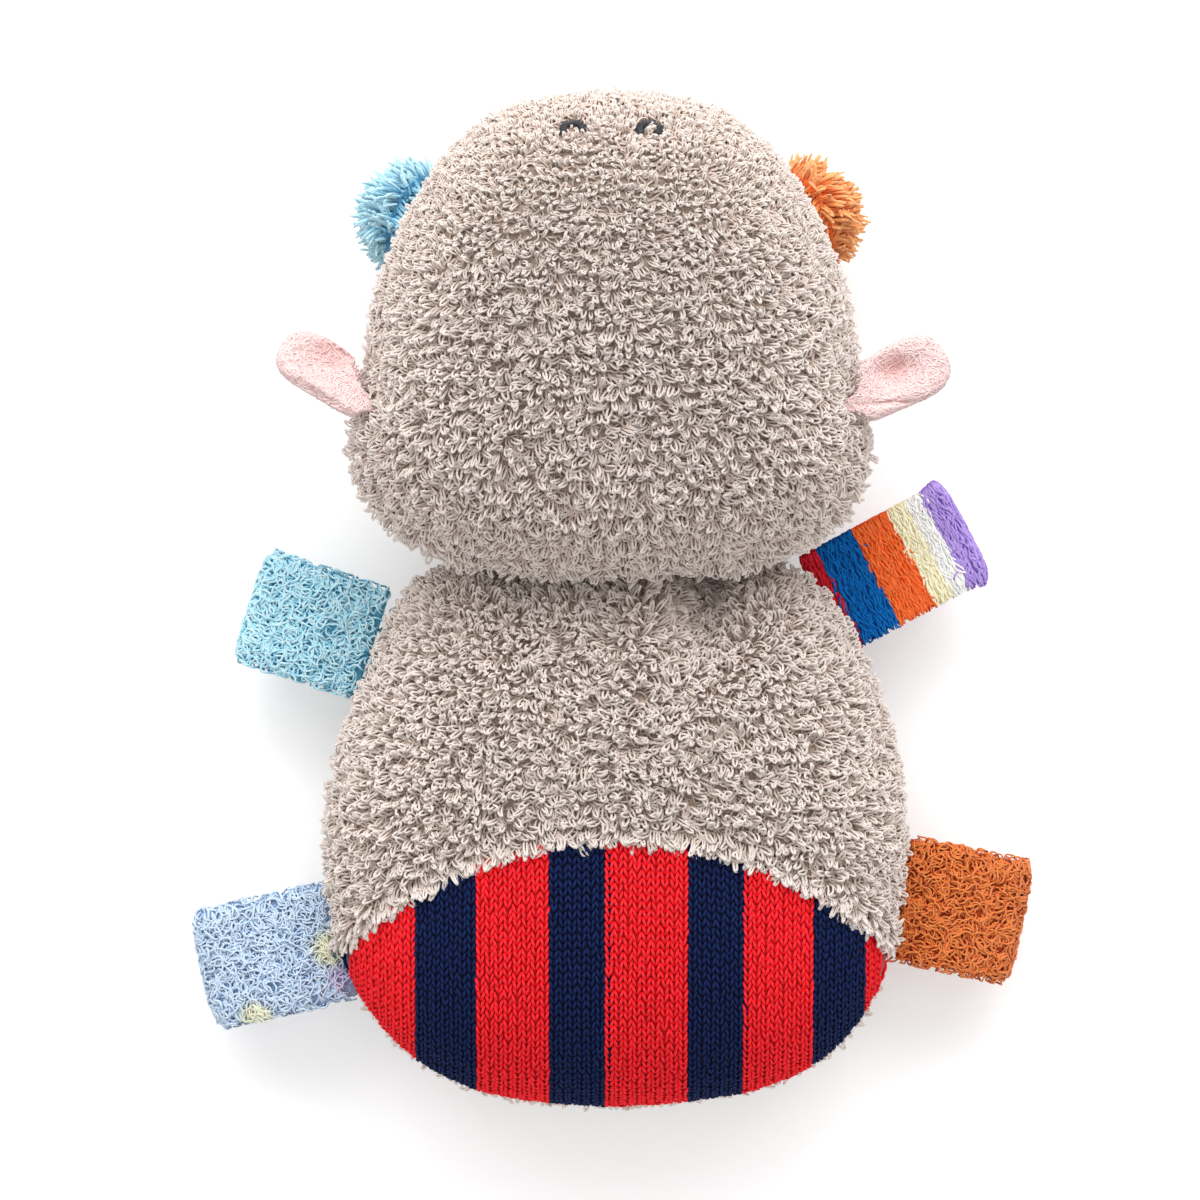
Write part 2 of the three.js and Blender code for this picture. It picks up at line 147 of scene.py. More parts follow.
def read(items, key, width, kind=float):
    """A value of each of a mesh's items, as the rows of an array."""
    out = np.empty(len(items) * width, dtype=kind)
    items.foreach_get(key, out)
    return out.reshape(-1, width)


def coordinates(mesh):
    return read(mesh.vertices, "co", 3)


def set_coordinates(mesh, points):
    mesh.vertices.foreach_set("co", np.ascontiguousarray(points, dtype=np.float32).ravel())
    mesh.update()


def normals_of(mesh):
    return read(mesh.vertex_normals, "vector", 3)


def placed(name, data):
    """A new object in the scene."""
    made = bpy.data.objects.new(name, data)
    bpy.context.scene.collection.objects.link(made)
    return made


def new_object(name, points, faces):
    mesh = bpy.data.meshes.new(name)
    mesh.from_pydata([tuple(p) for p in points], [], faces)
    mesh.update()
    return placed(name, mesh)


def swell(obj, distance):
    """Moves a mesh's points out along their normals, all as far or each by its own distance."""
    moves = normals_of(obj.data) * np.reshape(distance, (-1, 1))
    set_coordinates(obj.data, coordinates(obj.data) + moves)


def smooth_shading(obj):
    obj.data.polygons.foreach_set("use_smooth", np.ones(len(obj.data.polygons), dtype=bool))


def evaluated(obj):
    return obj.evaluated_get(bpy.context.evaluated_depsgraph_get())


def settle(obj):
    """Turns the object's modifiers into its mesh."""
    bpy.context.view_layer.update()
    made = bpy.data.meshes.new_from_object(evaluated(obj))
    obj.modifiers.clear()
    old = obj.data
    obj.data = made
    made.name = obj.name
    bpy.data.meshes.remove(old)


def joined(name, nodes):
    """A new object that holds copies of some CAD solids."""
    points, faces = [], []
    for node in nodes:
        mesh = frame["nodes"][node].data
        first = len(points)
        points += [v.co.copy() for v in mesh.vertices]
        faces += [[first + i for i in p.vertices] for p in mesh.polygons]
    return new_object(name, points, faces)


def keep_largest(obj):
    """Drops all but the largest connected part of the mesh."""
    work = bmesh.new()
    work.from_mesh(obj.data)
    todo = set(work.verts)
    best = set()
    while todo:
        part = {todo.pop()}
        edge = list(part)
        while edge:
            grown = [e.other_vert(v) for v in edge for e in v.link_edges]
            edge = list({v for v in grown if v not in part})
            part.update(edge)
        todo -= part
        if len(part) > len(best):
            best = part
    bmesh.ops.delete(work, geom=[v for v in work.verts if v not in best], context="VERTS")
    work.to_mesh(obj.data)
    work.free()


def skin(name, nodes, voxel, inset, smoothing):
    """One closed surface round some CAD solids, drawn in a little for the pile to stand on."""
    made = joined(name, nodes)
    remesh = made.modifiers.new("Remesh", "REMESH")
    remesh.mode = "VOXEL"
    remesh.voxel_size = voxel
    settle(made)
    keep_largest(made)
    relax = made.modifiers.new("Relax", "SMOOTH")
    relax.factor = 0.5
    relax.iterations = smoothing
    settle(made)
    swell(made, -inset)
    smooth_shading(made)
    return made


def stuff(obj, cap):
    """Swells a closed skin with pressure, between LEAST_SWELL of the cap and the whole cap."""
    start, normals = coordinates(obj.data), normals_of(obj.data)
    scene = bpy.context.scene
    cloth = obj.modifiers.new("Stuffing", "CLOTH")
    cloth.settings.effector_weights.gravity = 0
    for key, value in STUFFING.items():
        setattr(cloth.settings, key, value)
    cloth.point_cache.frame_start = 1
    cloth.point_cache.frame_end = STUFFING_STEPS
    for step in range(1, STUFFING_STEPS + 1):
        scene.frame_set(step)
    swollen = coordinates(evaluated(obj).data)
    obj.modifiers.clear()
    scene.frame_set(1)
    moved = swollen - start
    length = np.linalg.norm(moved, axis=1, keepdims=True)
    moved *= np.minimum(1, cap / np.maximum(length, 1e-9))
    outwards = (moved * normals).sum(axis=1)
    lacking = np.maximum(LEAST_SWELL * cap - outwards, 0)
    set_coordinates(obj.data, start + moved + normals * lacking[:, None])


def subdivide(obj):
    finer = obj.modifiers.new("Finer", "SUBSURF")
    finer.levels = finer.render_levels = 1
    settle(obj)
    smooth_shading(obj)


def cushion_skin(name, nodes):
    """The stuffed skin of the head or the body."""
    made = skin(name, nodes, SIM_VOXEL, PILE_ROOM + STUFFING_CAP * USUAL_SWELL, 3)
    stuff(made, STUFFING_CAP)
    subdivide(made)
    points = coordinates(made.data)
    points[:, 2] = np.maximum(points[:, 2], CLOTH_THICKNESS)
    set_coordinates(made.data, points)
    return made


def snap_to(obj, distance):
    """Moves the vertices next to a line on a mesh onto it, and returns each vertex's side of it.

    distance gives, for an array of points, how far each lies past the line."""
    points = coordinates(obj.data)
    far = distance(points)
    ends = read(obj.data.edges, "vertices", 2, int)
    crossing = ends[far[ends[:, 0]] * far[ends[:, 1]] < 0]
    moves = {}
    for a, b in crossing:
        share = far[a] / (far[a] - far[b])
        place = points[a] + share * (points[b] - points[a])
        near, way = (a, share) if share < 0.5 else (b, 1 - share)
        if near not in moves or way < moves[near][0]:
            moves[near] = (way, place)
    for vertex, (_, place) in moves.items():
        points[vertex] = place
        far[vertex] = 0
    set_coordinates(obj.data, points)
    return far


def groove(obj, distance, depth, breadth):
    """Draws a skin in along a line."""
    swell(obj, -depth * np.exp(-((distance(coordinates(obj.data)) / breadth) ** 2)))


def thicken(obj, thickness):
    cloth = obj.modifiers.new("Cloth", "SOLIDIFY")
    cloth.thickness = thickness
    cloth.offset = -1
    settle(obj)
    smooth_shading(obj)


def rise_from(distance, breadth):
    """0 up to a line and 1 from a breadth past it on, with a smooth slope between."""
    share = np.clip(distance / breadth, 0, 1)
    return share * share * (3 - 2 * share)


FOLDS = [  # place across, depth, breadth and length of the valleys and of the ridges, in mm
    (23, 9, 6, 32),
    (-1, 1.5, 4, 24),
    (-33, -0.8, 5, 24),
    (10, -2, 6, 24),
    (-13, -2, 6, 24),
]
RIDGE = 6 * MM  # place across of the ridge that the pile parts on
RIDGE_LENGTH = 55 * MM
RIDGE_FADE = 20 * MM


def sink_folds(obj):
    """Deepens the valleys that run back from the neck, and lifts the ridges."""
    points = coordinates(obj.data)
    behind = low("head_top_panel")[1] - points[:, 1]
    upper = points[:, 2] > BODY_SEAM
    for x, depth, breadth, length in np.array(FOLDS) * MM:
        fade = rise_from(length - behind, length) * upper
        points[:, 2] -= depth * fade * np.exp(-(((points[:, 0] - x) / breadth) ** 2))
    set_coordinates(obj.data, points)


# Places on a skin


def waves(points, length, seed, count=7):
    """Smooth noise from -1 to 1 over points, made of plane waves of about the given length."""
    rng = random(seed)
    most = 1.6  # spreads of the sum
    total = np.zeros(len(points))
    for _ in range(count):
        way = rng.normal(size=3)
        way /= np.linalg.norm(way)
        pitch = length * rng.uniform(0.7, 1.5)
        total += np.sin(points @ way * (2 * pi / pitch) + rng.uniform(0, 2 * pi))
    return np.clip(total / sqrt(count), -most, most) / most


def scatter(mesh, spacing, seed):
    """Points on a mesh, none nearer to another than spacing, with the skin's normal at each."""
    mesh.calc_loop_triangles()
    triangles = read(mesh.loop_triangles, "vertices", 3, int)
    points, normals = coordinates(mesh), normals_of(mesh)
    corners = points[triangles]
    areas = np.linalg.norm(
        np.cross(corners[:, 1] - corners[:, 0], corners[:, 2] - corners[:, 0]), axis=1
    ) / 2
    rng = random(seed)
    tries = int(areas.sum() / spacing**2 * SCATTER_TRIES)
    chosen = rng.choice(len(triangles), size=tries, p=areas / areas.sum())
    u, v = rng.random(tries), rng.random(tries)
    over = u + v > 1
    u[over], v[over] = 1 - u[over], 1 - v[over]
    weights = np.stack([1 - u - v, u, v], axis=1)[:, :, None]
    places = (points[triangles[chosen]] * weights).sum(axis=1)
    facing = (normals[triangles[chosen]] * weights).sum(axis=1)
    tree = kdtree.KDTree(tries)
    for i, place in enumerate(places):
        tree.insert(place, i)
    tree.balance()
    taken = np.zeros(tries, dtype=bool)
    kept = []
    for i, place in enumerate(places):
        if taken[i]:
            continue
        kept.append(i)
        for _, near, _ in tree.find_range(place, spacing):
            taken[near] = True
    return places[kept], unit(facing[kept])


def tree_of(obj):
    mesh = obj.data
    faces = [tuple(p.vertices) for p in mesh.polygons]
    return BVHTree.FromPolygons([v.co.copy() for v in mesh.vertices], faces)


def ray(tree, start, way):
    return tree.ray_cast(Vector(start), Vector(way))[0]


def clear_of(places, normals, trees, room):
    """Which places have nothing of the given surfaces within the room in front of them."""
    clear = np.ones(len(places), dtype=bool)
    for i, (place, normal) in enumerate(zip(places, normals)):
        start = Vector(place + normal * OFF_SKIN)
        for tree in trees:
            if tree.ray_cast(start, Vector(normal), room)[0] is not None:
                clear[i] = False
                break
    return clear


# Loops of yarn


def tangent_part(vectors, normals):
    return vectors - normals * (vectors * normals).sum(axis=1, keepdims=True)


def yarn_mesh(name, centres, flat_way, radius, shade, taper):
    """Tubes of yarn along rows of centres, (tube, ring, 3), as one object.

    Each tube's rings are turned so that one of their axes lies along flat_way. shade is each tube's
    share between the dark and the light yarn, and the attribute tip runs along a tube by height."""
    tubes, rings = centres.shape[:2]
    along = unit(np.gradient(centres, axis=1))
    one = unit(np.cross(along, flat_way[:, None, :]))
    two = np.cross(along, one)
    turns = (np.arange(LOOP_SIDES) + 0.5) * 2 * pi / LOOP_SIDES
    thick = np.asarray(radius).reshape(-1, 1, 1, 1) * taper[None, :, None, None]
    round_it = (
        one[:, :, None, :] * np.cos(turns)[None, None, :, None]
        + two[:, :, None, :] * np.sin(turns)[None, None, :, None]
    )
    points = (centres[:, :, None, :] + round_it * thick).reshape(-1, 3)
    points[:, 2] = np.maximum(points[:, 2], OVER_FLOOR)

    ring = np.arange(rings - 1)[:, None]
    side = np.arange(LOOP_SIDES)[None, :]
    after = (side + 1) % LOOP_SIDES
    quad = np.stack(
        [
            ring * LOOP_SIDES + side,
            (ring + 1) * LOOP_SIDES + side,
            (ring + 1) * LOOP_SIDES + after,
            ring * LOOP_SIDES + after,
        ],
        axis=-1,
    ).reshape(-1, 4)
    faces = (np.arange(tubes)[:, None, None] * rings * LOOP_SIDES + quad[None]).reshape(-1, 4)

    mesh = bpy.data.meshes.new(name)
    mesh.vertices.add(len(points))
    mesh.vertices.foreach_set("co", points.astype(np.float32).ravel())
    mesh.loops.add(faces.size)
    mesh.loops.foreach_set("vertex_index", faces.astype(np.int32).ravel())
    mesh.polygons.add(len(faces))
    mesh.polygons.foreach_set("loop_start", np.arange(0, faces.size, 4, dtype=np.int32))
    mesh.polygons.foreach_set("use_smooth", np.ones(len(faces), dtype=bool))
    mesh.update(calc_edges=True)

    tips = np.tile(np.repeat(tip_shares(rings), LOOP_SIDES), tubes)
    for label, values in (("tip", tips), ("shade", np.repeat(shade, LOOP_SIDES * rings))):
        layer = mesh.attributes.new(label, "FLOAT", "POINT")
        layer.data.foreach_set("value", values.astype(np.float32))
    lay_out_map(mesh, tubes, rings)
    return placed(name, mesh)


def tip_shares(rings):
    """How near to the loop's tip each ring lies, from 0 at its feet to 1."""
    return np.sin(np.linspace(0, pi, rings)) ** 0.7


def lay_out_map(mesh, tubes, rings):
    """A map for baking: each tube has its own cell, unrolled."""
    across = int(np.ceil(np.sqrt(tubes)))
    cell = 1 / across
    fill = 0.9 * cell
    column = (np.arange(tubes) % across) * cell
    row = (np.arange(tubes) // across) * cell
    ring = np.arange(rings - 1)[:, None]
    side = np.arange(LOOP_SIDES)[None, :]
    u = np.stack([ring, ring + 1, ring + 1, ring], axis=-1) * np.ones((1, LOOP_SIDES, 1))
    v = np.stack([side, side, side + 1, side + 1], axis=-1) * np.ones((rings - 1, 1, 1))
    u = u.reshape(-1) / (rings - 1) * fill
    v = v.reshape(-1) / LOOP_SIDES * fill
    places = np.stack([column[:, None] + u[None], row[:, None] + v[None]], axis=-1)
    layer = mesh.uv_layers.new(name="OFBake")
    layer.uv.foreach_set("vector", places.astype(np.float32).ravel())


def turned(one, two, angle):
    """Two directions at right angles, turned in their own plane."""
    angle = np.asarray(angle)[..., None]
    return one * np.cos(angle) + two * np.sin(angle), two * np.cos(angle) - one * np.sin(angle)


def shades(rng, count, light):
    """How light each strand is, from 0 to 1: by chance, round a half with light added; light is 0,
    or painted light and shade that lightens pile on slopes and darkens it on flat tops.
    """
    return np.clip(0.5 + light + rng.uniform(-0.3, 0.3, count), 0, 1)


def loops(name, places, normals, lean, height, width, radius, seed, curl=(60, 120), strands=1,
          twist=35, light=0):
    """Terry loops that stand on a skin, each a bundle of strands, one inside the other.

    lean is where each falls to, and its length how far. curl is the range of the loops' bends and
    twist the spread of their twists, in degrees."""
    rng = random(seed)
    count = len(places)
    lean = tangent_part(lean, normals)
    strength = np.minimum(np.linalg.norm(lean, axis=1), 1)
    fall = unit(lean)
    fall, across = turned(fall, np.cross(normals, fall), rng.normal(0, LOOP_SWERVE, count))
    radius = np.broadcast_to(radius, count)
    high = height * rng.uniform(*LOOP_HEIGHTS, count)
    broad = width * rng.uniform(*LOOP_WIDTHS, count)
    bend = np.radians(rng.uniform(*curl, count)) * (0.35 + 0.65 * strength)
    tilt = np.radians(rng.uniform(*LOOP_TILTS, count)) * strength**2
    skew = rng.normal(0, LOOP_SKEW, count)
    twists = rng.normal(0, radians(twist), count)
    shade = shades(rng, count, light)

    each = np.repeat(np.arange(count), strands)
    order = np.tile(np.arange(strands) - (strands - 1) / 2, count)
    total = len(each)
    high = high[each] * (1 + 0.2 * order + rng.normal(0, 0.05, total))
    broad = broad[each] * (1 + 0.5 * order + rng.normal(0, 0.1, total))
    bend = bend[each] * rng.normal(1, 0.07, total)
    normals, fall, across, tilt = normals[each], fall[each], across[each], tilt[each]
    start = places[each] + fall * ((order + rng.normal(0, 0.2, total)) * STRAND_GAP)[:, None]
    shade = np.clip(shade[each] + rng.uniform(-0.1, 0.1, total), 0, 1)

    path = np.linspace(0, pi, LOOP_RINGS)[None, :]
    up = np.sin(path) ** 0.85
    foot = 0.35 + 0.65 * np.sin(path) ** 0.6
    sideways = (-np.cos(path) * foot / 2 + skew[each][:, None] * up) * broad[:, None]
    angle = bend[:, None] * up
    reach = high[:, None] / bend[:, None]
    rise = reach * (np.sin(angle + tilt[:, None]) - np.sin(tilt[:, None]))
    out = reach * (np.cos(tilt[:, None]) - np.cos(angle + tilt[:, None]))
    fall_there, across_there = turned(
        fall[:, None, :], across[:, None, :], twists[each][:, None] * up
    )
    centres = (
        start[:, None, :]
        + across_there * sideways[:, :, None]
        + fall_there * out[:, :, None]
        + normals[:, None, :] * rise[:, :, None]
    )
    half = (bend / 2)[:, None]
    plane = unit(np.cross(across, normals * np.cos(half) + fall * np.sin(half)))
    return yarn(name, centres, plane, radius[each] * rng.uniform(*STRAND_THICKNESS, total), shade)


def yarn(name, centres, flat_way, radius, shade):
    """Strands of pile as one or more pieces, none with more than about MOST_FACES triangles."""
    rings = centres.shape[1]
    taper = 0.8 + 0.2 * np.sin(np.linspace(0, pi, rings))
    pieces = int(np.ceil(len(centres) * (rings - 1) * LOOP_SIDES * 2 / MOST_FACES))
    order = np.argsort(centres[:, 0, 1], kind="stable")
    parts = []
    for number, some in enumerate(np.array_split(order, pieces)):
        label = name if pieces == 1 else f"{name}_{number + 1}"
        parts.append(
            yarn_mesh(label, centres[some], flat_way[some], radius[some], shade[some], taper)
        )
    return parts


def nearest_on(tree, points):
    """The nearest places on a surface, and its normals there."""
    places, normals = np.empty_like(points), np.empty_like(points)
    for i, point in enumerate(points):
        place, normal, _, _ = tree.find_nearest(Vector(point))
        places[i], normals[i] = place, normal
    return places, normals


def noodles(name, tree, places, ways, length, radius, seed, bend, lift, rings=8, light=0):
    """Strands that lie curled on a surface, as flattened loops do. Sizes are in millimetres.

    The middle of each lies near its place. ways gives the directions that they run in, and bend is
    their sharpest turn in radians a millimetre."""
    rng = random(seed)
    count = len(places)
    step = length * MM * rng.uniform(0.7, 1.3, count) / (rings - 1)
    phase = rng.uniform(0, 2 * pi, count)
    waves_along = rng.uniform(0.4, 1.3, count)
    sharp = bend * rng.uniform(0.5, 1.3, count)
    level = rng.uniform(0, lift * MM, count)
    at, normals = nearest_on(tree, places)
    way = unit(tangent_part(ways, normals))
    at, normals = nearest_on(tree, at - way * (step * (rings - 1) / 2)[:, None])
    way = unit(tangent_part(way, normals))
    middle_normals = normals
    track = []
    for ring in range(rings):
        share = ring / (rings - 1)
        rise = (level + 0.35 * lift * MM) * min(1, 4 * share, 4 * (1 - share)) ** 0.5
        side = np.cross(normals, way)
        track.append(at + normals * rise[:, None])
        turn = sharp * np.cos(2 * pi * waves_along * share + phase) * step / MM
        way, _ = turned(way, side, turn)
        moved = at + way * step[:, None]
        found, normals = nearest_on(tree, moved)
        over = tangent_part(moved - found, normals)
        far = np.linalg.norm(over, axis=1, keepdims=True)
        at = found + over * np.minimum(1, OVERHANG / np.maximum(far, 1e-9))
        way = unit(tangent_part(way, normals))
        if ring == rings // 2:
            middle_normals = normals
    shade = shades(rng, count, light)
    centres = np.stack(track, axis=1) + rng.normal(0, STRAND_JITTER, (count, 1, 3))
    thick = radius * MM * rng.uniform(*STRAND_THICKNESS, count)
    return yarn(name, centres, middle_normals, thick, shade)


# Materials


def material(name):
    made = bpy.data.materials.new(name)
    made.use_nodes = True
    return made, made.node_tree, made.node_tree.nodes["Principled BSDF"]


def fill(target, inputs):
    """Sets inputs of a shader node, each to a value or to another node's socket."""
    for key, value in inputs.items():
        if isinstance(value, bpy.types.NodeSocket):
            target.id_data.links.new(value, target.inputs[key])
        else:
            target.inputs[key].default_value = value


def node(tree, kind, inputs=None, **settings):
    made = tree.nodes.new(kind)
    for key, value in settings.items():
        setattr(made, key, value)
    fill(made, inputs or {})
    return made


def ramp(tree, stops, source):
    """A colour ramp with the given (place, colour) stops, driven by a socket."""
    made = node(tree, "ShaderNodeValToRGB", {"Fac": source})
    line = made.color_ramp.elements
    while len(line) < len(stops):
        line.new(0.5)
    for element, (place, colour) in zip(line, stops):
        element.position = place
        element.color = srgb(*colour)
    return made.outputs["Color"]


def attribute(tree, name):
    return node(tree, "ShaderNodeAttribute", attribute_name=name).outputs["Fac"]


def position(tree):
    return node(tree, "ShaderNodeTexCoord").outputs["Object"]


def mapped(tree, source, **ends):
    """A socket's value, moved from one range to another."""
    inputs = {key.replace("_", " ").title(): value for key, value in ends.items()}
    return node(tree, "ShaderNodeMapRange", {"Value": source, **inputs}).outputs["Result"]


def varied(tree, colour, amount):
    """The colour made darker or lighter by each loop's own shade: a tone by chance, with painted
    light and shade by slope where it is given.
    """
    change = mapped(tree, attribute(tree, "shade"), to_min=1 - amount, to_max=1 + amount)
    tint = node(tree, "ShaderNodeVectorMath", {0: colour, "Scale": change}, operation="SCALE")
    return tint.outputs["Vector"]


def soften(shader, colour, sheen=0.25):
    """Gives a shader its colour and the dull, slightly downy look of cotton."""
    look = {"Roughness": 0.9, "Specular IOR Level": 0.2, "Sheen Roughness": 0.5}
    fill(shader, {"Base Color": colour, "Sheen Weight": sheen, **look})


def patched(tree, colour, place, radius, dye_and_painted_shade):
    """The colour with a soft round patch of another, for dyed patches and for painted shade in
    hollows. The patch's sizes are in millimetres.
    """
    ends = {0: position(tree), 1: [x * MM for x in place]}
    far = node(tree, "ShaderNodeVectorMath", ends, operation="DISTANCE").outputs["Value"]
    share = mapped(tree, far, from_min=radius * MM * 1.3, from_max=radius * MM * 0.7)
    colours = {"Factor": share, 6: colour, 7: srgb(*dye_and_painted_shade)}
    return node(tree, "ShaderNodeMix", colours, data_type="RGBA").outputs[2]


def pile_material(name, foot, middle, tip, amount=0.1, sheen=0.6, patches=()):
    """Looped yarn, with the colours of the loops' feet, middles and tips. The darker feet are
    painted shade where the strands meet the cloth, and the lighter tips painted light.
    """
    made, tree, shader = material(name)
    # painted shade at the feet and painted light at the tips, along the tip attribute
    colour = ramp(tree, [(0, foot), (0.55, middle), (1, tip)], attribute(tree, "tip"))
    for place, radius, dye_and_painted_shade in patches:
        colour = patched(tree, colour, place, radius, dye_and_painted_shade)
    soften(shader, varied(tree, colour, amount), sheen)
    return made


def backing_material(name, colour, dark):
    """The woven cloth under the loops."""
    made, tree, shader = material(name)
    cells = {"Vector": position(tree), "Scale": GRAIN}
    grain = node(tree, "ShaderNodeTexVoronoi", cells).outputs["Distance"]
    relief = {"Height": grain, "Strength": 0.6, "Distance": 0.4 * MM}
    fill(shader, {"Normal": node(tree, "ShaderNodeBump", relief).outputs["Normal"]})
    soften(shader, ramp(tree, [(0, colour), (0.7, dark)], grain))
    return made


def striped_cloth(name, start, way, edges, colours):
    """Cloth with stripes across a direction, with the distances of their edges from start."""
    made, tree, shader = material(name)
    ends = {0: position(tree), 1: way}
    along = node(tree, "ShaderNodeVectorMath", ends, operation="DOT_PRODUCT").outputs["Value"]
    first = float(np.dot(start, way))
    span = mapped(tree, along, from_min=first - STRIPE_SPAN, from_max=first + STRIPE_SPAN)
    places = [0] + [(edge + STRIPE_SPAN) / (2 * STRIPE_SPAN) for edge in edges]
    stripes = ramp(tree, list(zip(places, colours)), span)
    stripes.node.color_ramp.interpolation = "CONSTANT"
    soften(shader, stripes)
    return made


# Finishes

GREY = pile_material("grey_pile", (190, 171, 159), (216, 201, 191), (232, 221, 214), 0.12)
# The undercoat is coloured darker than the pile: painted shade between the loops, where it shows.
UNDERCOAT = pile_material(
    "grey_undercoat", (178, 158, 145), (194, 175, 163), (202, 184, 172), 0.28
)
UNDER = pile_material("grey_under_pile", (186, 164, 152), (226, 209, 199), (236, 222, 214), 0.16)
GREY_BACKING = backing_material("grey_backing", (180, 161, 148), (156, 137, 124))
SKY = pile_material("sky_pile", (92, 186, 222), (156, 222, 243), (202, 240, 251))
SKY_BACKING = backing_material("sky_backing", (112, 196, 226), (94, 180, 214))
YELLOW_PATCH = (240, 240, 212)
LILAC_PATCH = (216, 208, 242)
PALE = pile_material(
    "pale_pile", (154, 186, 222), (188, 213, 239), (212, 230, 249),
    patches=[
        ((-67.5, -84.5, 22), 4.5, YELLOW_PATCH),
        ((-85.5, -101.5, 18), 4, YELLOW_PATCH),
        ((-64.5, -91.5, 22), 3.5, LILAC_PATCH),
    ],
)
PALE_BACKING = backing_material("pale_backing", (172, 202, 236), (158, 190, 226))
BURNT = pile_material(
    "burnt_pile", (190, 78, 22), (221, 108, 44), (232, 136, 72), sheen=0.25
)
BURNT_BACKING = backing_material("burnt_backing", (198, 86, 30), (178, 72, 22))
BLUE_EYE = pile_material("blue_eye_pile", (112, 192, 228), (174, 228, 246), (202, 240, 251))
BLUE_BACKING = backing_material("blue_eye_backing", (90, 165, 205), (60, 130, 175))
ORANGE_EYE = pile_material(
    "orange_eye_pile", (255, 146, 74), (255, 168, 98), (255, 190, 128), sheen=0.3
)
ORANGE_BACKING = backing_material("orange_eye_backing", (252, 122, 54), (236, 104, 40))
HOLLOWS = {  # of each ear: middle, half length and half breadth, turn and depth, in mm and degrees
    "left": (((-66, 57.5), (6.5, 2.8), -22, 2.4), ((-69.7, 48.5), (7, 0.9), -30, 1.2)),
    "right": (((66.5, 54.4), (5, 3.4), 8, 2.4), ((66, 46.3), (6.5, 0.8), 5, 1.4)),
}
EAR_LEVEL = 42  # mm
PINK = pile_material(
    "pink_pile", (240, 206, 204), (242, 213, 211), (244, 218, 216), 0.02, 0.1,
    # darker pink in each ear's main hollow: painted shade
    patches=[
        ((*HOLLOWS["left"][0][0], EAR_LEVEL), 5, (238, 202, 199)),
        ((*HOLLOWS["right"][0][0], EAR_LEVEL), 5, (238, 200, 197)),
    ],
)
PINK_BACKING = backing_material("pink_backing", (244, 212, 210), (240, 204, 202))
THREAD = pile_material("charcoal_thread", (44, 45, 50), (62, 63, 69), (78, 80, 87), 0.15, 0.05)


def give(obj, body, finish):
    obj.data.materials.clear()
    obj.data.materials.append(finish)
    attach(obj, body)
    return obj


# Places and sizes from the frame


def low(name):
    return np.array(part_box(name)[0])


def high(name):
    return np.array(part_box(name)[1])


BODY_SEAM = (high("belly_panel")[2] + low("back_panel")[2]) / 2
HEAD_SEAM = (high("head_under_panel")[2] + low("head_top_panel")[2]) / 2
BODY_MIDDLE = (low("belly_panel") + high("belly_panel")) / 2
SEAT_MIDDLE = np.array([BODY_MIDDLE[0], high("seat_panel")[1] - SEAT_RADIUS])


def past_body_seam(points):
    return points[:, 2] - BODY_SEAM


def past_head_seam(points):
    return points[:, 2] - HEAD_SEAM


def past_seat_seam(points):
    """How far points lie outside the arc that bounds the seat."""
    return np.linalg.norm(points[:, :2] - SEAT_MIDDLE, axis=1) - SEAT_RADIUS


# Nostrils

NOSTRIL_STITCH = 1.5 * MM  # breadth of the satin stitching
NOSTRIL_DEPTH = 1.7 * MM  # from the arch's middle to its front
NOSTRIL_BACK = 1.2 * MM  # how far the stitches lie behind the CAD arches
NOSTRIL_RISE = 1.7 * MM  # over the head's cloth, about level with its pile
NOSTRIL_CLEAR = 1.0 * MM  # from the stitches to the pile
NOSTRIL_SWEEP = (radians(-25), radians(205))
NOSTRIL_THREADS = 30
THREAD_RADIUS = 0.2 * MM
THREAD_REACHES = (0.56, 0.66)  # from the arch to a thread's end, as shares of the stitching
THREAD_SLANT = 0.12  # spread


def nostril_arch(side):
    """The line that a nostril's stitches follow, seen from above."""
    name = f"nostril_{side}"
    middle = (low(name) + high(name)) / 2
    half = (high(name)[0] - low(name)[0] - NOSTRIL_STITCH) / 2
    back = high(name)[1] - NOSTRIL_STITCH / 2 - NOSTRIL_DEPTH - NOSTRIL_BACK
    turns = np.linspace(*NOSTRIL_SWEEP, NOSTRIL_THREADS)
    x, y = middle[0] + half * np.cos(turns), back + NOSTRIL_DEPTH * np.sin(turns)
    return np.stack([x, y, np.full(NOSTRIL_THREADS, high(name)[2])], axis=1)


ARCHES = {side: nostril_arch(side) for side in ("left", "right")}


def nostril_distance(points):
    """How far each point lies from the nostrils' stitches, seen from above."""
    lines = np.concatenate(list(ARCHES.values()))[:, :2]
    return np.linalg.norm(points[:, None, :2] - lines[None], axis=2).min(axis=1)


# Head and body skins

head_skin = cushion_skin("head_filling", ["head_top_panel", "head_under_panel", "head_stuffing"])
body_skin = cushion_skin(
    "body_filling", ["back_panel", "seat_panel", "belly_panel", "body_stuffing"]
)
sink_folds(body_skin)

NUDGES = (  # middle, breadth and way of each move, in mm
    (head_skin, (((-63, 36), 9, (-0.9, -0.2)), ((68, 38), 9, (0.9, -0.2)))),
    (
        body_skin,
        (
            ((-56, -16), 15, (1.3, 0)),
            ((68, -34), 20, (0.8, 0)),
            ((-15, -122), 40, (0, -0.8)),
            ((50, -104), 26, (0.9, -1.1)),
        ),
    ),
)


def nudge(obj, middle, size, way):
    """Moves a part of a skin a little sideways, to fit the photograph's outline."""
    points = coordinates(obj.data)
    near = np.exp(-(((points[:, :2] - np.array(middle) * MM) / (size * MM)) ** 2).sum(axis=1))
    points[:, :2] += near[:, None] * np.array(way) * MM
    set_coordinates(obj.data, points)


for moved, moves in NUDGES:
    for move in moves:
        nudge(moved, *move)


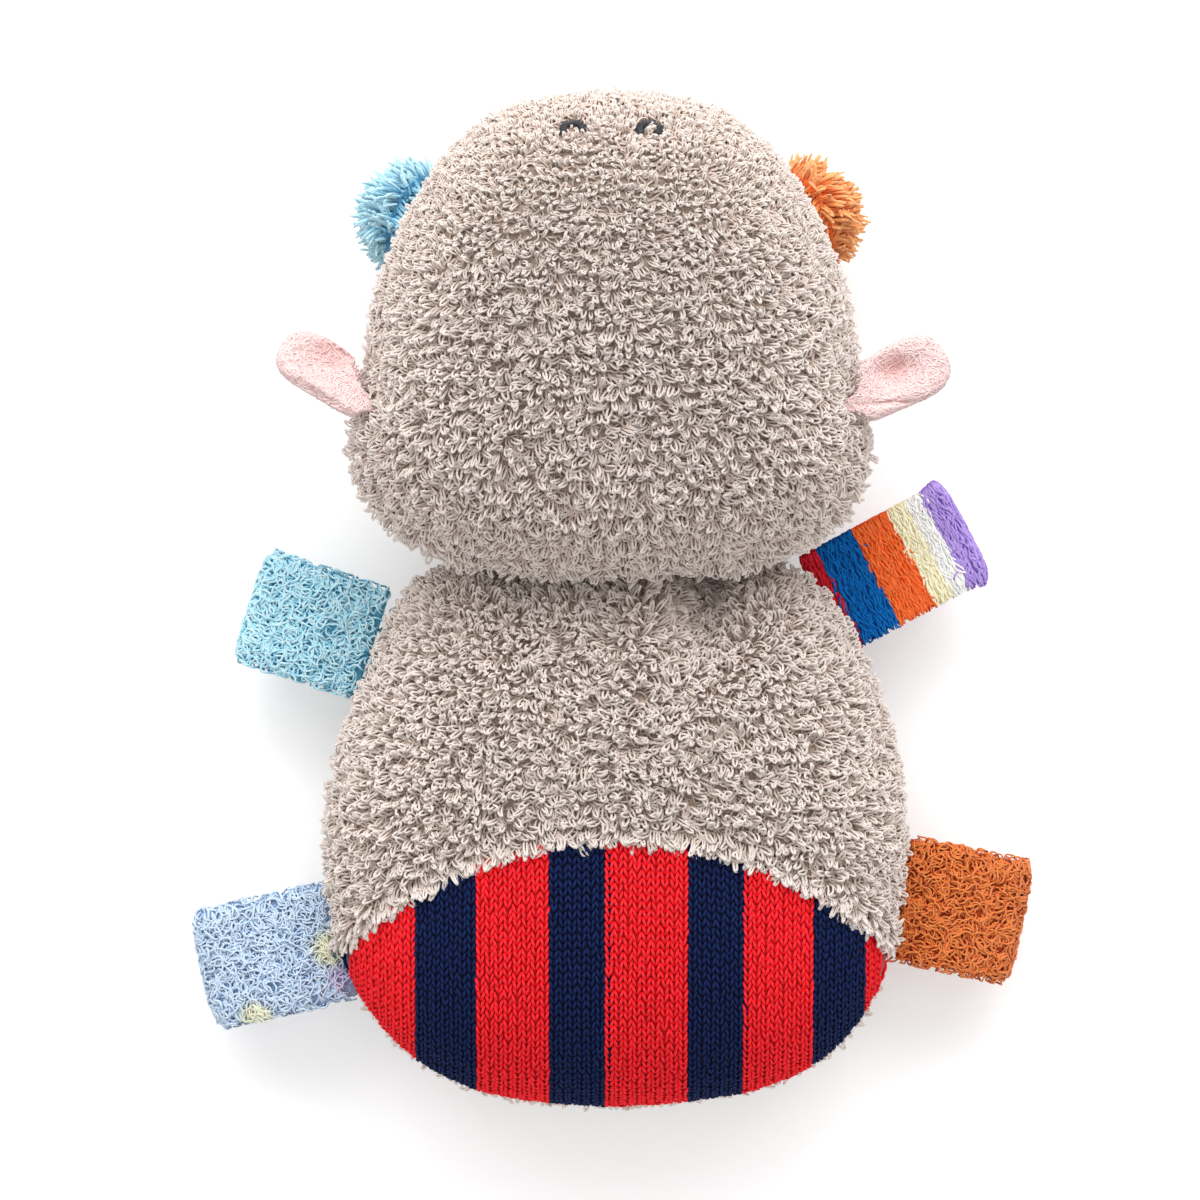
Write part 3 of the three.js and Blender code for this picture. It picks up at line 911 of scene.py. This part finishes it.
def fill_seat(obj):
    """Lets the seat out: its knit lies bare, where the terry beside it stands up."""
    points = coordinates(obj.data)
    behind, above = SEAT_EDGES
    out = rise_from(-past_seat_seam(points), behind) * rise_from(past_body_seam(points), above)
    swell(obj, out * SEAT_RISE)


fill_seat(body_skin)
groove(head_skin, past_head_seam, SEAM_DEPTH, SEAM_BREADTH)
groove(body_skin, past_body_seam, SEAM_DEPTH, SEAM_BREADTH)
head_tree = tree_of(head_skin)
body_tree = tree_of(body_skin)


def painted_slope_light(normals, change):
    """Painted light and shade: pile on the slopes is given a lighter shade and pile on flat tops a
    darker one, standing in for how the light falls on them.
    """
    return SLOPE_PAINTED_LIGHT - change * np.clip(normals[:, 2], 0, 1) ** 5


def field(points, seed, size):
    """Directions that change smoothly from place to place."""
    return np.stack([waves(points, size, seed + k) for k in range(3)], axis=1)


def swirl(points, seed, long=9 * MM, short=4 * MM):
    """Directions that change from tuft to tuft."""
    return field(points, seed, long) + 0.6 * field(points, seed + 10, short)


def cushion_lean(points, normals, seed):
    """Loops hang outwards down the slopes. Where the cushion is flat they lie over in rows."""
    flat = np.clip(normals[:, 2:], 0, 1) ** 3
    upright = np.clip(1 - np.abs(normals[:, 2:]) / 0.45, 0, 1)
    down = np.array([0, 0, -1.0])
    rows = np.array([0.1, -0.6, 0])
    loose = random(seed + 5).normal(0, 1, (len(points), 3)) * (0.16 + 0.28 * flat)
    steep = 1.1 - 0.5 * flat - 0.6 * upright
    return down * steep + rows * flat + swirl(points, seed) * (0.15 + 0.25 * flat) + loose


def near_seat(points):
    """1 at the arc-shaped seam of the seat, down to 0 away from it."""
    return 1 - rise_from(np.abs(past_seat_seam(points)) - 1 * MM, SEAM_PULL)


def on_ridge(points, breadth):
    """1 on the ridge behind the neck, down to 0 beside it and towards the seat."""
    beside = (points[:, 0] - RIDGE) / breadth
    from_end = points[:, 1] - high("back_panel")[1] + RIDGE_LENGTH
    return np.exp(-(beside**2)) * rise_from(from_end, RIDGE_FADE)


def body_lean(points, normals, seed):
    """As on any cushion, but loops hang over the seat at its seam and part along the ridge."""
    fall = cushion_lean(points, normals, seed)
    seam = (near_seat(points) * (normals[:, 2] > 0.1))[:, None]
    inwards = np.zeros_like(points)
    inwards[:, :2] = SEAT_MIDDLE - points[:, :2]
    parting = np.tanh((points[:, 0] - RIDGE) / (4 * MM))
    fall[:, 0] += parting * on_ridge(points, 11 * MM) * 0.9
    return fall * (1 - seam) + unit(inwards) * seam


def back_length(points):
    """The pile is longer at the seam of the seat and on the ridge."""
    return 1 + 0.3 * near_seat(points) + 0.3 * on_ridge(points, 9 * MM)


def in_rows(points, normals):
    """Draws places together into the rows of the weave, where the cushion is flat."""
    flat = np.clip(normals[:, 2], 0, 1) ** 2
    wander = waves(points, 30 * MM, 3) * 1.2
    phase = points[:, 1] / ROW_PITCH * 2 * pi + wander
    out = points.copy()
    out[:, 1] -= np.sin(phase) * ROW_PITCH * 0.2 * flat
    return out


def rear_fringe(points):
    """Under the seat the belly's pile stands out past the knit."""
    seam = 1 - rise_from(np.abs(past_body_seam(points)), 6 * MM)
    return 1 + 0.15 * seam * rise_from(-50 * MM - points[:, 1], 20 * MM)


def head_length(points):
    """The pile is shorter at the nose and round the nostrils, and longer at the cheeks."""
    nose = rise_from(points[:, 1] - 50 * MM, 50 * MM)
    seam = 1 - rise_from(np.abs(past_head_seam(points)), 16 * MM)
    cheek = rise_from(50 * MM - points[:, 1], 20 * MM) * seam
    nostril = 1 - rise_from(nostril_distance(points) - NOSTRIL_CLEAR, 3 * MM)
    return (1 - 0.35 * nose + 0.5 * cheek) * (1 - 0.1 * nostril)


def places_on(base, spacing, seed, keep, others, room):
    """Places and normals all over a skin, or where keep picks them, with room in front of them."""
    places, normals = scatter(base.data, spacing * MM, seed)
    if keep is not None:
        some = keep(places)
        places, normals = places[some], normals[some]
    clear = clear_of(places, normals, others, room * MM)
    return places[clear], normals[clear]


def pile(name, base, seed, others=(), keep=None, lean=cushion_lean, spacing=1.12, height=3.5,
         width=1.5, radius=0.33, room=2.5, rows=False, length=None, slopes=0, **more):
    """Terry loops all over a skin, or where keep picks their places. Sizes are in millimetres."""
    places, normals = places_on(base, spacing, seed, keep, others, room)
    if rows:
        places = in_rows(places, normals)
    fall = lean(places, normals, seed)
    if length is not None:
        share = length(places)
        height = height * share
        width, radius = width * np.minimum(share, 1), radius * np.minimum(share, 1) ** 0.4
    # painted light and shade: lighter pile on slopes, darker pile on flat tops
    if slopes:
        more["light"] = painted_slope_light(normals, slopes)
    return loops(
        name, places, normals, fall, height * MM, width * MM, radius * MM, seed + 1, **more
    )


def curled(name, base, seed, others, spacing, room, size=6, loose=0.5, way=None, keep=None,
           slopes=0, **more):
    """Flattened terry all over a surface, as strands that lie on it."""
    places, normals = places_on(base, spacing, seed, keep, others, room)
    # painted light and shade: lighter pile on slopes, darker pile on flat tops
    if slopes:
        more["light"] = painted_slope_light(normals, slopes)
    ways = field(places, seed + 2, size * MM) if way is None else np.tile(way, (len(places), 1))
    ways = ways + random(seed + 3).normal(0, loose, ways.shape)
    return noodles(name, tree_of(base), places, ways, seed=seed + 1, **more)


def dress(parts, body, slot, finish):
    for part in parts:
        give(part, body, finish)
    return parts


def panels(base, seams, parts):
    """Cuts a skin into its sewn panels. parts gives each one's name and its side of each seam."""
    sides = [snap_to(base, seam) for seam in seams]
    made = {}
    for name, signs in parts.items():
        work = bmesh.new()
        work.from_mesh(base.data)
        work.verts.ensure_lookup_table()
        away = [
            face for face in work.faces
            if any(
                sign * sum(side[vertex.index] for vertex in face.verts) < 0
                for sign, side in zip(signs, sides)
            )
        ]
        bmesh.ops.delete(work, geom=away, context="FACES")
        mesh = bpy.data.meshes.new(name)
        work.to_mesh(mesh)
        work.free()
        made[name] = placed(name, mesh)
        thicken(made[name], CLOTH_THICKNESS)
    return made


# Ears' skins

EAR_VOXEL = 0.7 * MM
EAR_INSET = 0.8 * MM
EAR_ROOT = 5 * MM  # the part that is drawn to the head
EAR_REACH = 3 * MM  # how far it is drawn out
EAR_RAISE = 4 * MM  # and up
EAR_PLUMP = 1.5  # the ear's thickness as a multiple of the CAD ear's


def hollow(obj, middle, half, turn, depth):
    """Presses an oval hollow into the upper side, as HOLLOWS gives it."""
    points = coordinates(obj.data)
    aside = points[:, :2] - np.array(middle) * MM
    way = np.array([cos(radians(turn)), sin(radians(turn))])
    along = aside @ way / (half[0] * MM)
    across = (aside[:, 1] * way[0] - aside[:, 0] * way[1]) / (half[1] * MM)
    upper = np.clip(normals_of(obj.data)[:, 2] * 2, 0, 1)
    points[:, 2] -= depth * MM * upper * np.exp(-((along**2 + across**2) ** 1.5))
    set_coordinates(obj.data, points)


def reach_for_head(obj, hand):
    """Plumps an ear up, and draws its root out and up to the pile of the head."""
    points = coordinates(obj.data)
    root = (points[:, 0] * hand).min()
    out = points[:, 0] * hand - root
    middle = points.mean(axis=0)
    lower = np.clip((middle[1] - points[:, 1]) / EAR_ROOT, 0, 1)
    points[:, 2] = middle[2] + (points[:, 2] - middle[2]) * EAR_PLUMP
    inner = 1 - rise_from(out, 3 * EAR_ROOT)
    points[:, 2] += EAR_RAISE * inner
    points[:, 1] -= EAR_REACH * lower * inner
    points[:, 0] -= hand * EAR_REACH * (1 - rise_from(out, EAR_ROOT))
    set_coordinates(obj.data, points)


ears = {}
for side, hand in (("left", -1), ("right", 1)):
    ears[side] = skin(f"ear_{side}_cloth", [f"ear_{side}"], EAR_VOXEL, EAR_INSET, 4)
    reach_for_head(ears[side], hand)
    for dent in HOLLOWS[side]:
        hollow(ears[side], *dent)
ear_trees = [tree_of(ear) for ear in ears.values()]


# Terry and cloth of the head and the body

SEAT_FRINGE = 2.2 * MM  # from the seat's arc to the end of the loops that hang over it
BELLY_FRINGE = 4 * MM  # down from the body's seam


def on_head_top(places):
    return (past_head_seam(places) > 0) & (nostril_distance(places) > NOSTRIL_CLEAR)


def on_head_under(places):
    return past_head_seam(places) <= 0


def on_back(places):
    return (past_body_seam(places) > 0) & (past_seat_seam(places) > 0)


def on_seat_seam(places):
    """The row of loops next to the seat, which hang over its edge."""
    return on_back(places) & (past_seat_seam(places) < SEAT_FRINGE)


def on_belly_edge(places):
    """The belly's loops that show past the seat."""
    edge = past_body_seam(places)
    return (edge <= 0) & (edge > -BELLY_FRINGE) & (past_seat_seam(places) < 0)


def on_belly(places):
    return past_body_seam(places) <= 0


HEAD = (head_skin, "head", [body_tree, *ear_trees])
BODY = (body_skin, "torso", [head_tree])
UPPER = ("grey_terry", GREY)
LOWER = ("grey_terry_under", UNDER)
# the last column sets how strongly painted light and shade lighten the pile on slopes and darken it
# on flat tops
for name, (base, body, others), (slot, finish), seed, keep, lean, length, spacing, slopes in (
    ("head_top", HEAD, UPPER, 11, on_head_top, cushion_lean, head_length, 1.05, 0.9),
    ("head_under", HEAD, LOWER, 21, on_head_under, cushion_lean, head_length, 1.5, 0.4),
    ("back", BODY, UPPER, 31, on_back, body_lean, back_length, 1.05, 0.7),
    ("belly", BODY, LOWER, 41, on_belly, cushion_lean, rear_fringe, 1.5, 0.4),
):
    dress(
        pile(f"{name}_pile", base, seed, others, keep, lean, spacing, rows=True, length=length,
             slopes=slopes),
        body, slot, finish,
    )
    dress(
        curled(f"{name}_undercoat", base, seed + 500, others, spacing * 1.25, 2.0, keep=keep,
               length=4, radius=0.3, bend=0.9, lift=0.6, slopes=slopes),
        body, slot, UNDERCOAT,
    )
dress(
    pile("seat_seam_fringe", body_skin, 45, [head_tree], on_seat_seam, body_lean, 0.95,
         height=4.4, width=1.1, curl=(25, 60), twist=12, slopes=0.4),
    "torso", *UPPER,
)
dress(
    pile("belly_fringe", body_skin, 47, (), on_belly_edge, cushion_lean, 0.95, height=2.9,
         width=1.2, curl=(30, 70), twist=20, slopes=0.4),
    "torso", *LOWER,
)
FIBRE = backing_material("fibre", (244, 242, 238), (222, 218, 212))
KNIT_GROUND = ((12, 20, 56), (190, 14, 26))
grounds = [KNIT_GROUND[n % 2] for n in range(len(STRIPES) + 1)]
SEAT_CLOTH = striped_cloth("seat_cloth", (0, 0, 0), (1, 0, 0), STRIPES, grounds)

head_panels = panels(head_skin, [past_head_seam], {"head_top_cloth": [1], "head_under_cloth": [-1]})
body_panels = panels(
    body_skin,
    [past_body_seam, past_seat_seam],
    {"back_cloth": [1, 1], "seat_cloth": [1, -1], "belly_cloth": [-1, 0]},
)
for name, body, slot, finish, replaced in (
    ("head_top_cloth", "head", "grey_terry", GREY_BACKING, "head_top_panel"),
    ("head_under_cloth", "head", "grey_terry_under", GREY_BACKING, "head_under_panel"),
    ("back_cloth", "torso", "grey_terry", GREY_BACKING, "back_panel"),
    ("seat_cloth", "torso", "striped_knit", SEAT_CLOTH, "seat_panel"),
    ("belly_cloth", "torso", "grey_terry_under", GREY_BACKING, "belly_panel"),
):
    panel = {**head_panels, **body_panels}[name]
    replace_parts(give(panel, body, finish), replaced)
for filling, body, replaced in (
    (head_skin, "head", "head_stuffing"),
    (body_skin, "torso", "body_stuffing"),
):
    swell(filling, -FILLING_ROOM)
    give(filling, body, FIBRE)
    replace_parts(filling, replaced)


# Knitted seat


def arc_of(tree, start, ways):
    """Where rays from one point meet a skin, and how far along the skin each is."""
    hits = [ray(tree, start, way) for way in ways]
    points = np.array([h for h in hits if h is not None])
    steps = np.linalg.norm(np.diff(points, axis=0), axis=1)
    return points, np.concatenate([[0], np.cumsum(steps)])


def evenly(points, along, spacing):
    """Points at even spacing along a line."""
    places = np.arange(spacing / 2, along[-1], spacing)
    return np.stack([np.interp(places, along, points[:, k]) for k in range(3)], axis=1)


def knit_seat():
    """Columns of knitted stitches that run from the arc-shaped seam to the rear."""
    behind, above = KNIT_EDGES
    level = BODY_SEAM - 1 * MM
    middle = np.array([BODY_MIDDLE[0], SEAT_LEVEL_Y, level])
    turns = np.linspace(0, pi, 400)
    across, along = arc_of(body_tree, middle, [(-cos(t), 0, sin(t)) for t in turns])
    columns = evenly(across, along, WALE)
    legs, ways, tones, reds = [], [], [], []
    rng = random(71)
    for x in columns[:, 0]:
        start = np.array([x, SEAT_LEVEL_Y, level])
        down, length = arc_of(
            body_tree, start, [(0, cos(t), sin(t)) for t in np.linspace(radians(20), pi, 260)]
        )
        inside = (past_seat_seam(down) < -behind) & (past_body_seam(down) > above)
        if inside.sum() < 4:
            continue
        down, length = down[inside], length[inside]
        stitches = evenly(down, length - length[0], COURSE)
        if len(stitches) < 2:
            continue
        run = unit(np.gradient(stitches, axis=0))
        for place, way in zip(stitches, run):
            normal = np.array(body_tree.find_nearest(Vector(place))[1])
            side = unit(np.cross(normal, way))
            for hand in (-1, 1):
                legs.append(stitch_leg(place, way, side * hand, normal, rng))
                ways.append(normal)
                tones.append(rng.random())
                reds.append(np.searchsorted(STRIPES, x) % 2 == 1)
    return [np.array(values) for values in (legs, ways, tones, reds)]


def stitch_leg(place, way, side, normal, rng):
    """One leg of a V: from the point at the rear, outwards to the front, thick in its middle."""
    share = np.linspace(0, 1, LEG_RINGS)
    out = (0.04 + 0.4 * share**0.8) * WALE
    back = (0.62 - 1.3 * share) * COURSE
    lift = np.sin(share * pi) * 0.34 * MM + 0.12 * MM
    jitter = rng.normal(0, KNIT_JITTER, 3)
    return (
        place
        + side[None, :] * out[:, None]
        + way[None, :] * back[:, None]
        + normal[None, :] * lift[:, None]
        + jitter
    )


seat_legs, seat_ways, seat_tones, seat_reds = knit_seat()
leg_taper = 0.55 + 0.45 * np.sin(np.linspace(0, pi, LEG_RINGS))
KNIT_RED = pile_material("red_knit", (238, 16, 26), (255, 26, 40), (255, 46, 55), 0.08, 0)
KNIT_NAVY = pile_material("navy_knit", (6, 13, 40), (8, 23, 64), (15, 36, 86), 0.1, 0)
for label, some, finish in (
    ("seat_knit_red", seat_reds, KNIT_RED),
    ("seat_knit_navy", ~seat_reds, KNIT_NAVY),
):
    knit = yarn_mesh(
        label, seat_legs[some], seat_ways[some], np.full(some.sum(), KNIT_RADIUS),
        seat_tones[some], leg_taper,
    )
    give(knit, "torso", finish)


# Nostrils' stitches


def stitched(name, side, seed):
    """Satin stitch: threads side by side, each laid across the arch over its padding."""
    rng = random(seed)
    arch = ARCHES[side]
    run = unit(np.gradient(arch, axis=0))
    aside = np.stack([-run[:, 1], run[:, 0], np.zeros(len(run))], axis=1)
    share = np.linspace(-1, 1, 7)
    threads = []
    for place, way, out in zip(arch, run, aside):
        level = ray(head_tree, place + np.array([0, 0, 20 * MM]), (0, 0, -1))[2] + NOSTRIL_RISE
        slant = rng.normal(0, THREAD_SLANT)
        reach = NOSTRIL_STITCH * rng.uniform(*THREAD_REACHES)
        line = place + (out + way * slant) * (share * reach)[:, None]
        line[:, 2] = level + 0.1 * MM - 0.6 * MM * share**2 - 1.4 * MM * share**8
        threads.append(line)
    up = np.tile([0, 0, 1.0], (NOSTRIL_THREADS, 1))
    thick = np.full(NOSTRIL_THREADS, THREAD_RADIUS)
    return yarn(name, np.array(threads), up, thick, rng.random(NOSTRIL_THREADS))


for side, seed in (("left", 75), ("right", 77)):
    arch = dress(
        stitched(f"nostril_{side}_stitches", side, seed), "head", "charcoal_thread", THREAD
    )
    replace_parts(arch[0], f"nostril_{side}")


# Neck

COLLAR_VOXEL = 0.9 * MM
COLLAR_INSET = 0.2 * MM
PLEATS = 30
PLEAT_DEPTH = 0.25 * MM


def pleat(obj, count, depth):
    """Gathers a ring of cloth into folds round the way that it runs."""
    points = coordinates(obj.data)
    middle = (points.min(axis=0) + points.max(axis=0)) / 2
    turn = np.arctan2(points[:, 2] - middle[2], points[:, 0] - middle[0])
    swell(obj, np.cos(turn * count) * depth)


collar = skin("neck_gather_cloth", ["neck_gather"], COLLAR_VOXEL, COLLAR_INSET, 1)
pleat(collar, PLEATS, PLEAT_DEPTH)
give(collar, "neck", GREY_BACKING)
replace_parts(collar, "neck_gather")


# Eyes

BALL_VOXEL = 1.2 * MM
BALL_INSET = 3.2 * MM  # for the strands that stand on it


def ball_lean(points, normals, seed):
    """Strands of the eyes fall outwards, away from the head, in tufts."""
    out = np.sign(points[:, :1].mean()) * np.array([1.0, 0, 0]) + np.array([0, 0, -0.3])
    return swirl(points, seed, 8 * MM, 5 * MM) * 0.7 + out * 0.6


for side, seed, finish, backing, slot, moved in (
    ("left", 51, BLUE_EYE, BLUE_BACKING, "light_blue_terry", (0.5, 0.8)),
    ("right", 61, ORANGE_EYE, ORANGE_BACKING, "orange_terry", (-1.2, 1.2)),
):
    ball = skin(
        f"eye_ball_{side}_filling", [f"eye_ball_{side}", f"eye_stuffing_{side}"],
        BALL_VOXEL, BALL_INSET, 3,
    )
    set_coordinates(ball.data, coordinates(ball.data) + np.array([*moved, 0]) * MM)
    dress(
        pile(f"eye_{side}_pile", ball, seed, [head_tree], lean=ball_lean, spacing=0.9,
             height=4.8, width=0.6, radius=0.25, room=1.5, curl=(15, 55), strands=2, twist=25),
        "head", slot, finish,
    )
    give(ball, "head", backing)
    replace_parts(ball, f"eye_ball_{side}", f"eye_stuffing_{side}")


# Ears

for side, seed in (("left", 81), ("right", 91)):
    ear = ears[side]
    dress(
        curled(f"ear_{side}_pile", ear, seed, [head_tree], 0.55, 0.5, size=4, length=3,
               radius=0.23, bend=0.7, lift=0.15, loose=0.4),
        f"ear_{side}", "pink_terry", PINK,
    )
    give(ear, f"ear_{side}", PINK_BACKING)
    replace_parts(ear, f"ear_{side}")


# Tabs

TAB_TUCK = 0.2  # share of a tab's reach that lies inside the seam
TAB_ROOM = 1 * MM  # between each layer and the skin of the CAD tab
FLARE_START = 5 * MM  # before the end of the tab
FLARE_GROWTH = 4 * MM  # from where the flare starts to its full breadth


def tab_frame(node, joint):
    """Where a tab's root is, the ways out and across, and how far the tab reaches along them."""
    found = next(j for j in frame["joints"] if j["name"] == joint)
    root = np.array(found["pos_m"])
    across = np.array(found["axis"])
    out = np.array([-across[1], across[0], 0])
    points = coordinates(frame["nodes"][node].data) - root
    return root, out, across, (points @ out).max(), np.abs(points @ across).max()


def tab_strip(name, joint, aside, inset, droop, thickness, flare):
    """A strip folded double: out along its top layer, round the fold and back underneath.

    aside moves it along the joint's axis, inset narrows it, and droop lowers its end, all in
    millimetres. flare widens the fold by a share of the breadth. Also returns the flat size."""
    root, out, across, reach, half = tab_frame(name, joint)
    half -= inset * MM
    root = root + across * (aside * MM)
    turn = thickness * MM / 2 - TAB_ROOM
    flat = np.linspace(-TAB_TUCK, 1, 14) * (reach - turn)
    top = [(u, turn * min(1, 0.55 + 1.6 * max(u, 0) / reach)) for u in flat]
    fold = [
        (reach - turn + turn * sin(a), turn * cos(a)) for a in np.linspace(0, pi, 9)[1:-1]
    ]
    path = top + fold + [(u, -w) for u, w in reversed(top)]
    length = np.linalg.norm(np.diff(path, axis=0), axis=1).sum()
    shares = np.linspace(-1, 1, 17)
    points = []
    for u, w in path:
        sag = droop * MM * max(u, 0) ** 2 / reach**2
        broad = half * (1 + flare * rise_from(u - reach + FLARE_START, FLARE_GROWTH))
        for share in shares:
            flatter = 1 - 0.3 * abs(share) ** 6
            drawn = 1 - 0.05 * abs(share) ** 6
            points.append(
                root + out * (u * drawn) + across * (share * broad)
                + np.array([0, 0, w * flatter - sag])
            )
    row = len(shares)
    starts = [i * row + j for i in range(len(path) - 1) for j in range(row - 1)]
    faces = [(k + 1, k + row + 1, k + row, k) for k in starts]
    made = new_object(f"{name}_cloth", points, faces)
    smooth_shading(made)
    return made, (2 * half, length)


STRIPED = {  # colours of the right arm from its fold inwards, with each stripe's breadth in mm
    "purple": (7.2, (134, 98, 200), (170, 140, 222), (192, 166, 234)),
    "white": (4.3, (244, 244, 240), (251, 250, 247), (253, 253, 251)),
    "yellow": (4.8, (252, 238, 186), (255, 245, 204), (255, 249, 220)),
    "orange": (9.7, (242, 88, 32), (255, 104, 42), (255, 126, 64)),
    "blue": (9.8, (0, 70, 142), (0, 94, 176), (8, 114, 196)),
    "red": (20, (184, 14, 34), (214, 22, 42), (228, 44, 60)),
}


def between(start, way, low, high):
    """A test for places whose distance from start along a way lies between two values."""

    def test(places):
        along = (places - start) @ way
        return (along >= low) & (along < high)

    return test


def striped_arm(name, joint, strip, body, seed, slot):
    """The striped tab's pile, flat terry whose strands run along its stripes, and its backing."""
    root, out, across, reach, _ = tab_frame(name, joint)
    fold = root + out * reach
    edges, grounds = [], []
    far = 1 * MM
    for colour, (breadth, foot, middle, tip) in STRIPED.items():
        low = far - breadth * MM
        finish = pile_material(f"{colour}_stripe", foot, middle, tip, 0.06, 0)
        dress(
            curled(f"{name}_{colour}", strip, seed, [body_tree], 0.6, 1.0, loose=0.08, way=across,
                   keep=between(fold, out, low, far), length=3.2, radius=0.28, bend=0.4,
                   lift=0.3),
            body, slot, finish,
        )
        edges.append(low)
        grounds.append(foot)
        far = low
        seed += 7
    edges = edges[:-1][::-1]
    return striped_cloth(name + "_ground", fold, tuple(out), edges, grounds[::-1])


TAB_HIDDEN = 3 * MM  # from a tab's joint in to where its pile begins
TABS = {  # seed, slot, finish and backing, sizes as tab_strip takes them, radius of the strands
    "arm_left": (101, "sky_blue_terry", SKY, SKY_BACKING, (-0.6, 0.7, 5, 8, 0), 0.31),
    "leg_left": (111, "pale_blue_terry", PALE, PALE_BACKING, (-0.7, 1.3, 6, 8, 0), 0.29),
    "leg_right": (121, "burnt_orange_terry", BURNT, BURNT_BACKING, (0.3, 0.7, 5, 8, 0), 0.28),
    "arm_right": (131, "striped_terry", None, None, (-0.7, 0.1, 3, 5.6, 0.07), None),
}
for body, (seed, slot, finish, backing, sizes, radius) in TABS.items():
    name, joint = body.replace("_", "_tab_"), body + "_flap"
    strip, flat = tab_strip(name, joint, *sizes)
    if finish is None:
        backing = striped_arm(name, joint, strip, body, seed, slot)
    else:
        root, out = tab_frame(name, joint)[:2]
        outside = between(root, out, -TAB_HIDDEN, 1)
        dress(
            curled(name + "_pile", strip, seed, [body_tree], 0.68, 1.0, size=4, keep=outside,
                   length=4.6, radius=radius, bend=1.0, lift=1.0, rings=11),
            body, slot, finish,
        )
    thicken(strip, CLOTH_THICKNESS)
    give(strip, body, backing)
    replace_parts(strip, name)


# Floor, lamps and camera


def build_stage():
    corners = [(x * FLOOR_HALF, y * FLOOR_HALF, 0) for x, y in ((-1, -1), (1, -1), (1, 1), (-1, 1))]
    floor = new_object("floor", corners, [(0, 1, 2, 3)])
    paper, tree, shader = material("paper")
    rays = node(tree, "ShaderNodeLightPath").outputs
    seen = rays["Is Camera Ray"]
    for other in ("Is Glossy Ray", "Is Transmission Ray"):
        either = node(tree, "ShaderNodeMath", {0: seen, 1: rays[other]}, operation="MAXIMUM")
        seen = either.outputs["Value"]
    glow = node(tree, "ShaderNodeMath", {0: seen, 1: FLOOR_GLOW}, operation="MULTIPLY")
    fill(
        shader,
        {
            "Base Color": PAPER,
            "Roughness": 0.8,
            "Specular IOR Level": 0.1,
            "Emission Color": WHITE,
            "Emission Strength": glow.outputs["Value"],
        },
    )
    floor.data.materials.append(paper)

    world = bpy.data.worlds.new("studio")
    world.use_nodes = True
    fill(world.node_tree.nodes["Background"], {"Color": WHITE, "Strength": SKY_STRENGTH})
    bpy.context.scene.world = world

    for name, (place, sizes, power) in LAMPS.items():
        lamp = bpy.data.lights.new(name, "AREA")
        lamp.shape = "RECTANGLE"
        lamp.size, lamp.size_y = sizes
        lamp.energy = power
        holder = placed(name, lamp)
        holder.location = place
        holder.rotation_euler = (-holder.location).to_track_quat("-Z", "Y").to_euler()


def build_camera():
    lens = bpy.data.cameras.new("camera")
    lens.sensor_width = SENSOR
    lens.lens = SENSOR * (CAMERA_HEIGHT - VIEW_LEVEL) / VIEW_WIDTH
    lens.clip_end = 10
    holder = placed("camera", lens)
    holder.location = (*VIEW_MIDDLE, CAMERA_HEIGHT)
    bpy.context.scene.camera = holder


build_stage()
build_camera()
bpy.context.scene.view_settings.view_transform = "Standard"
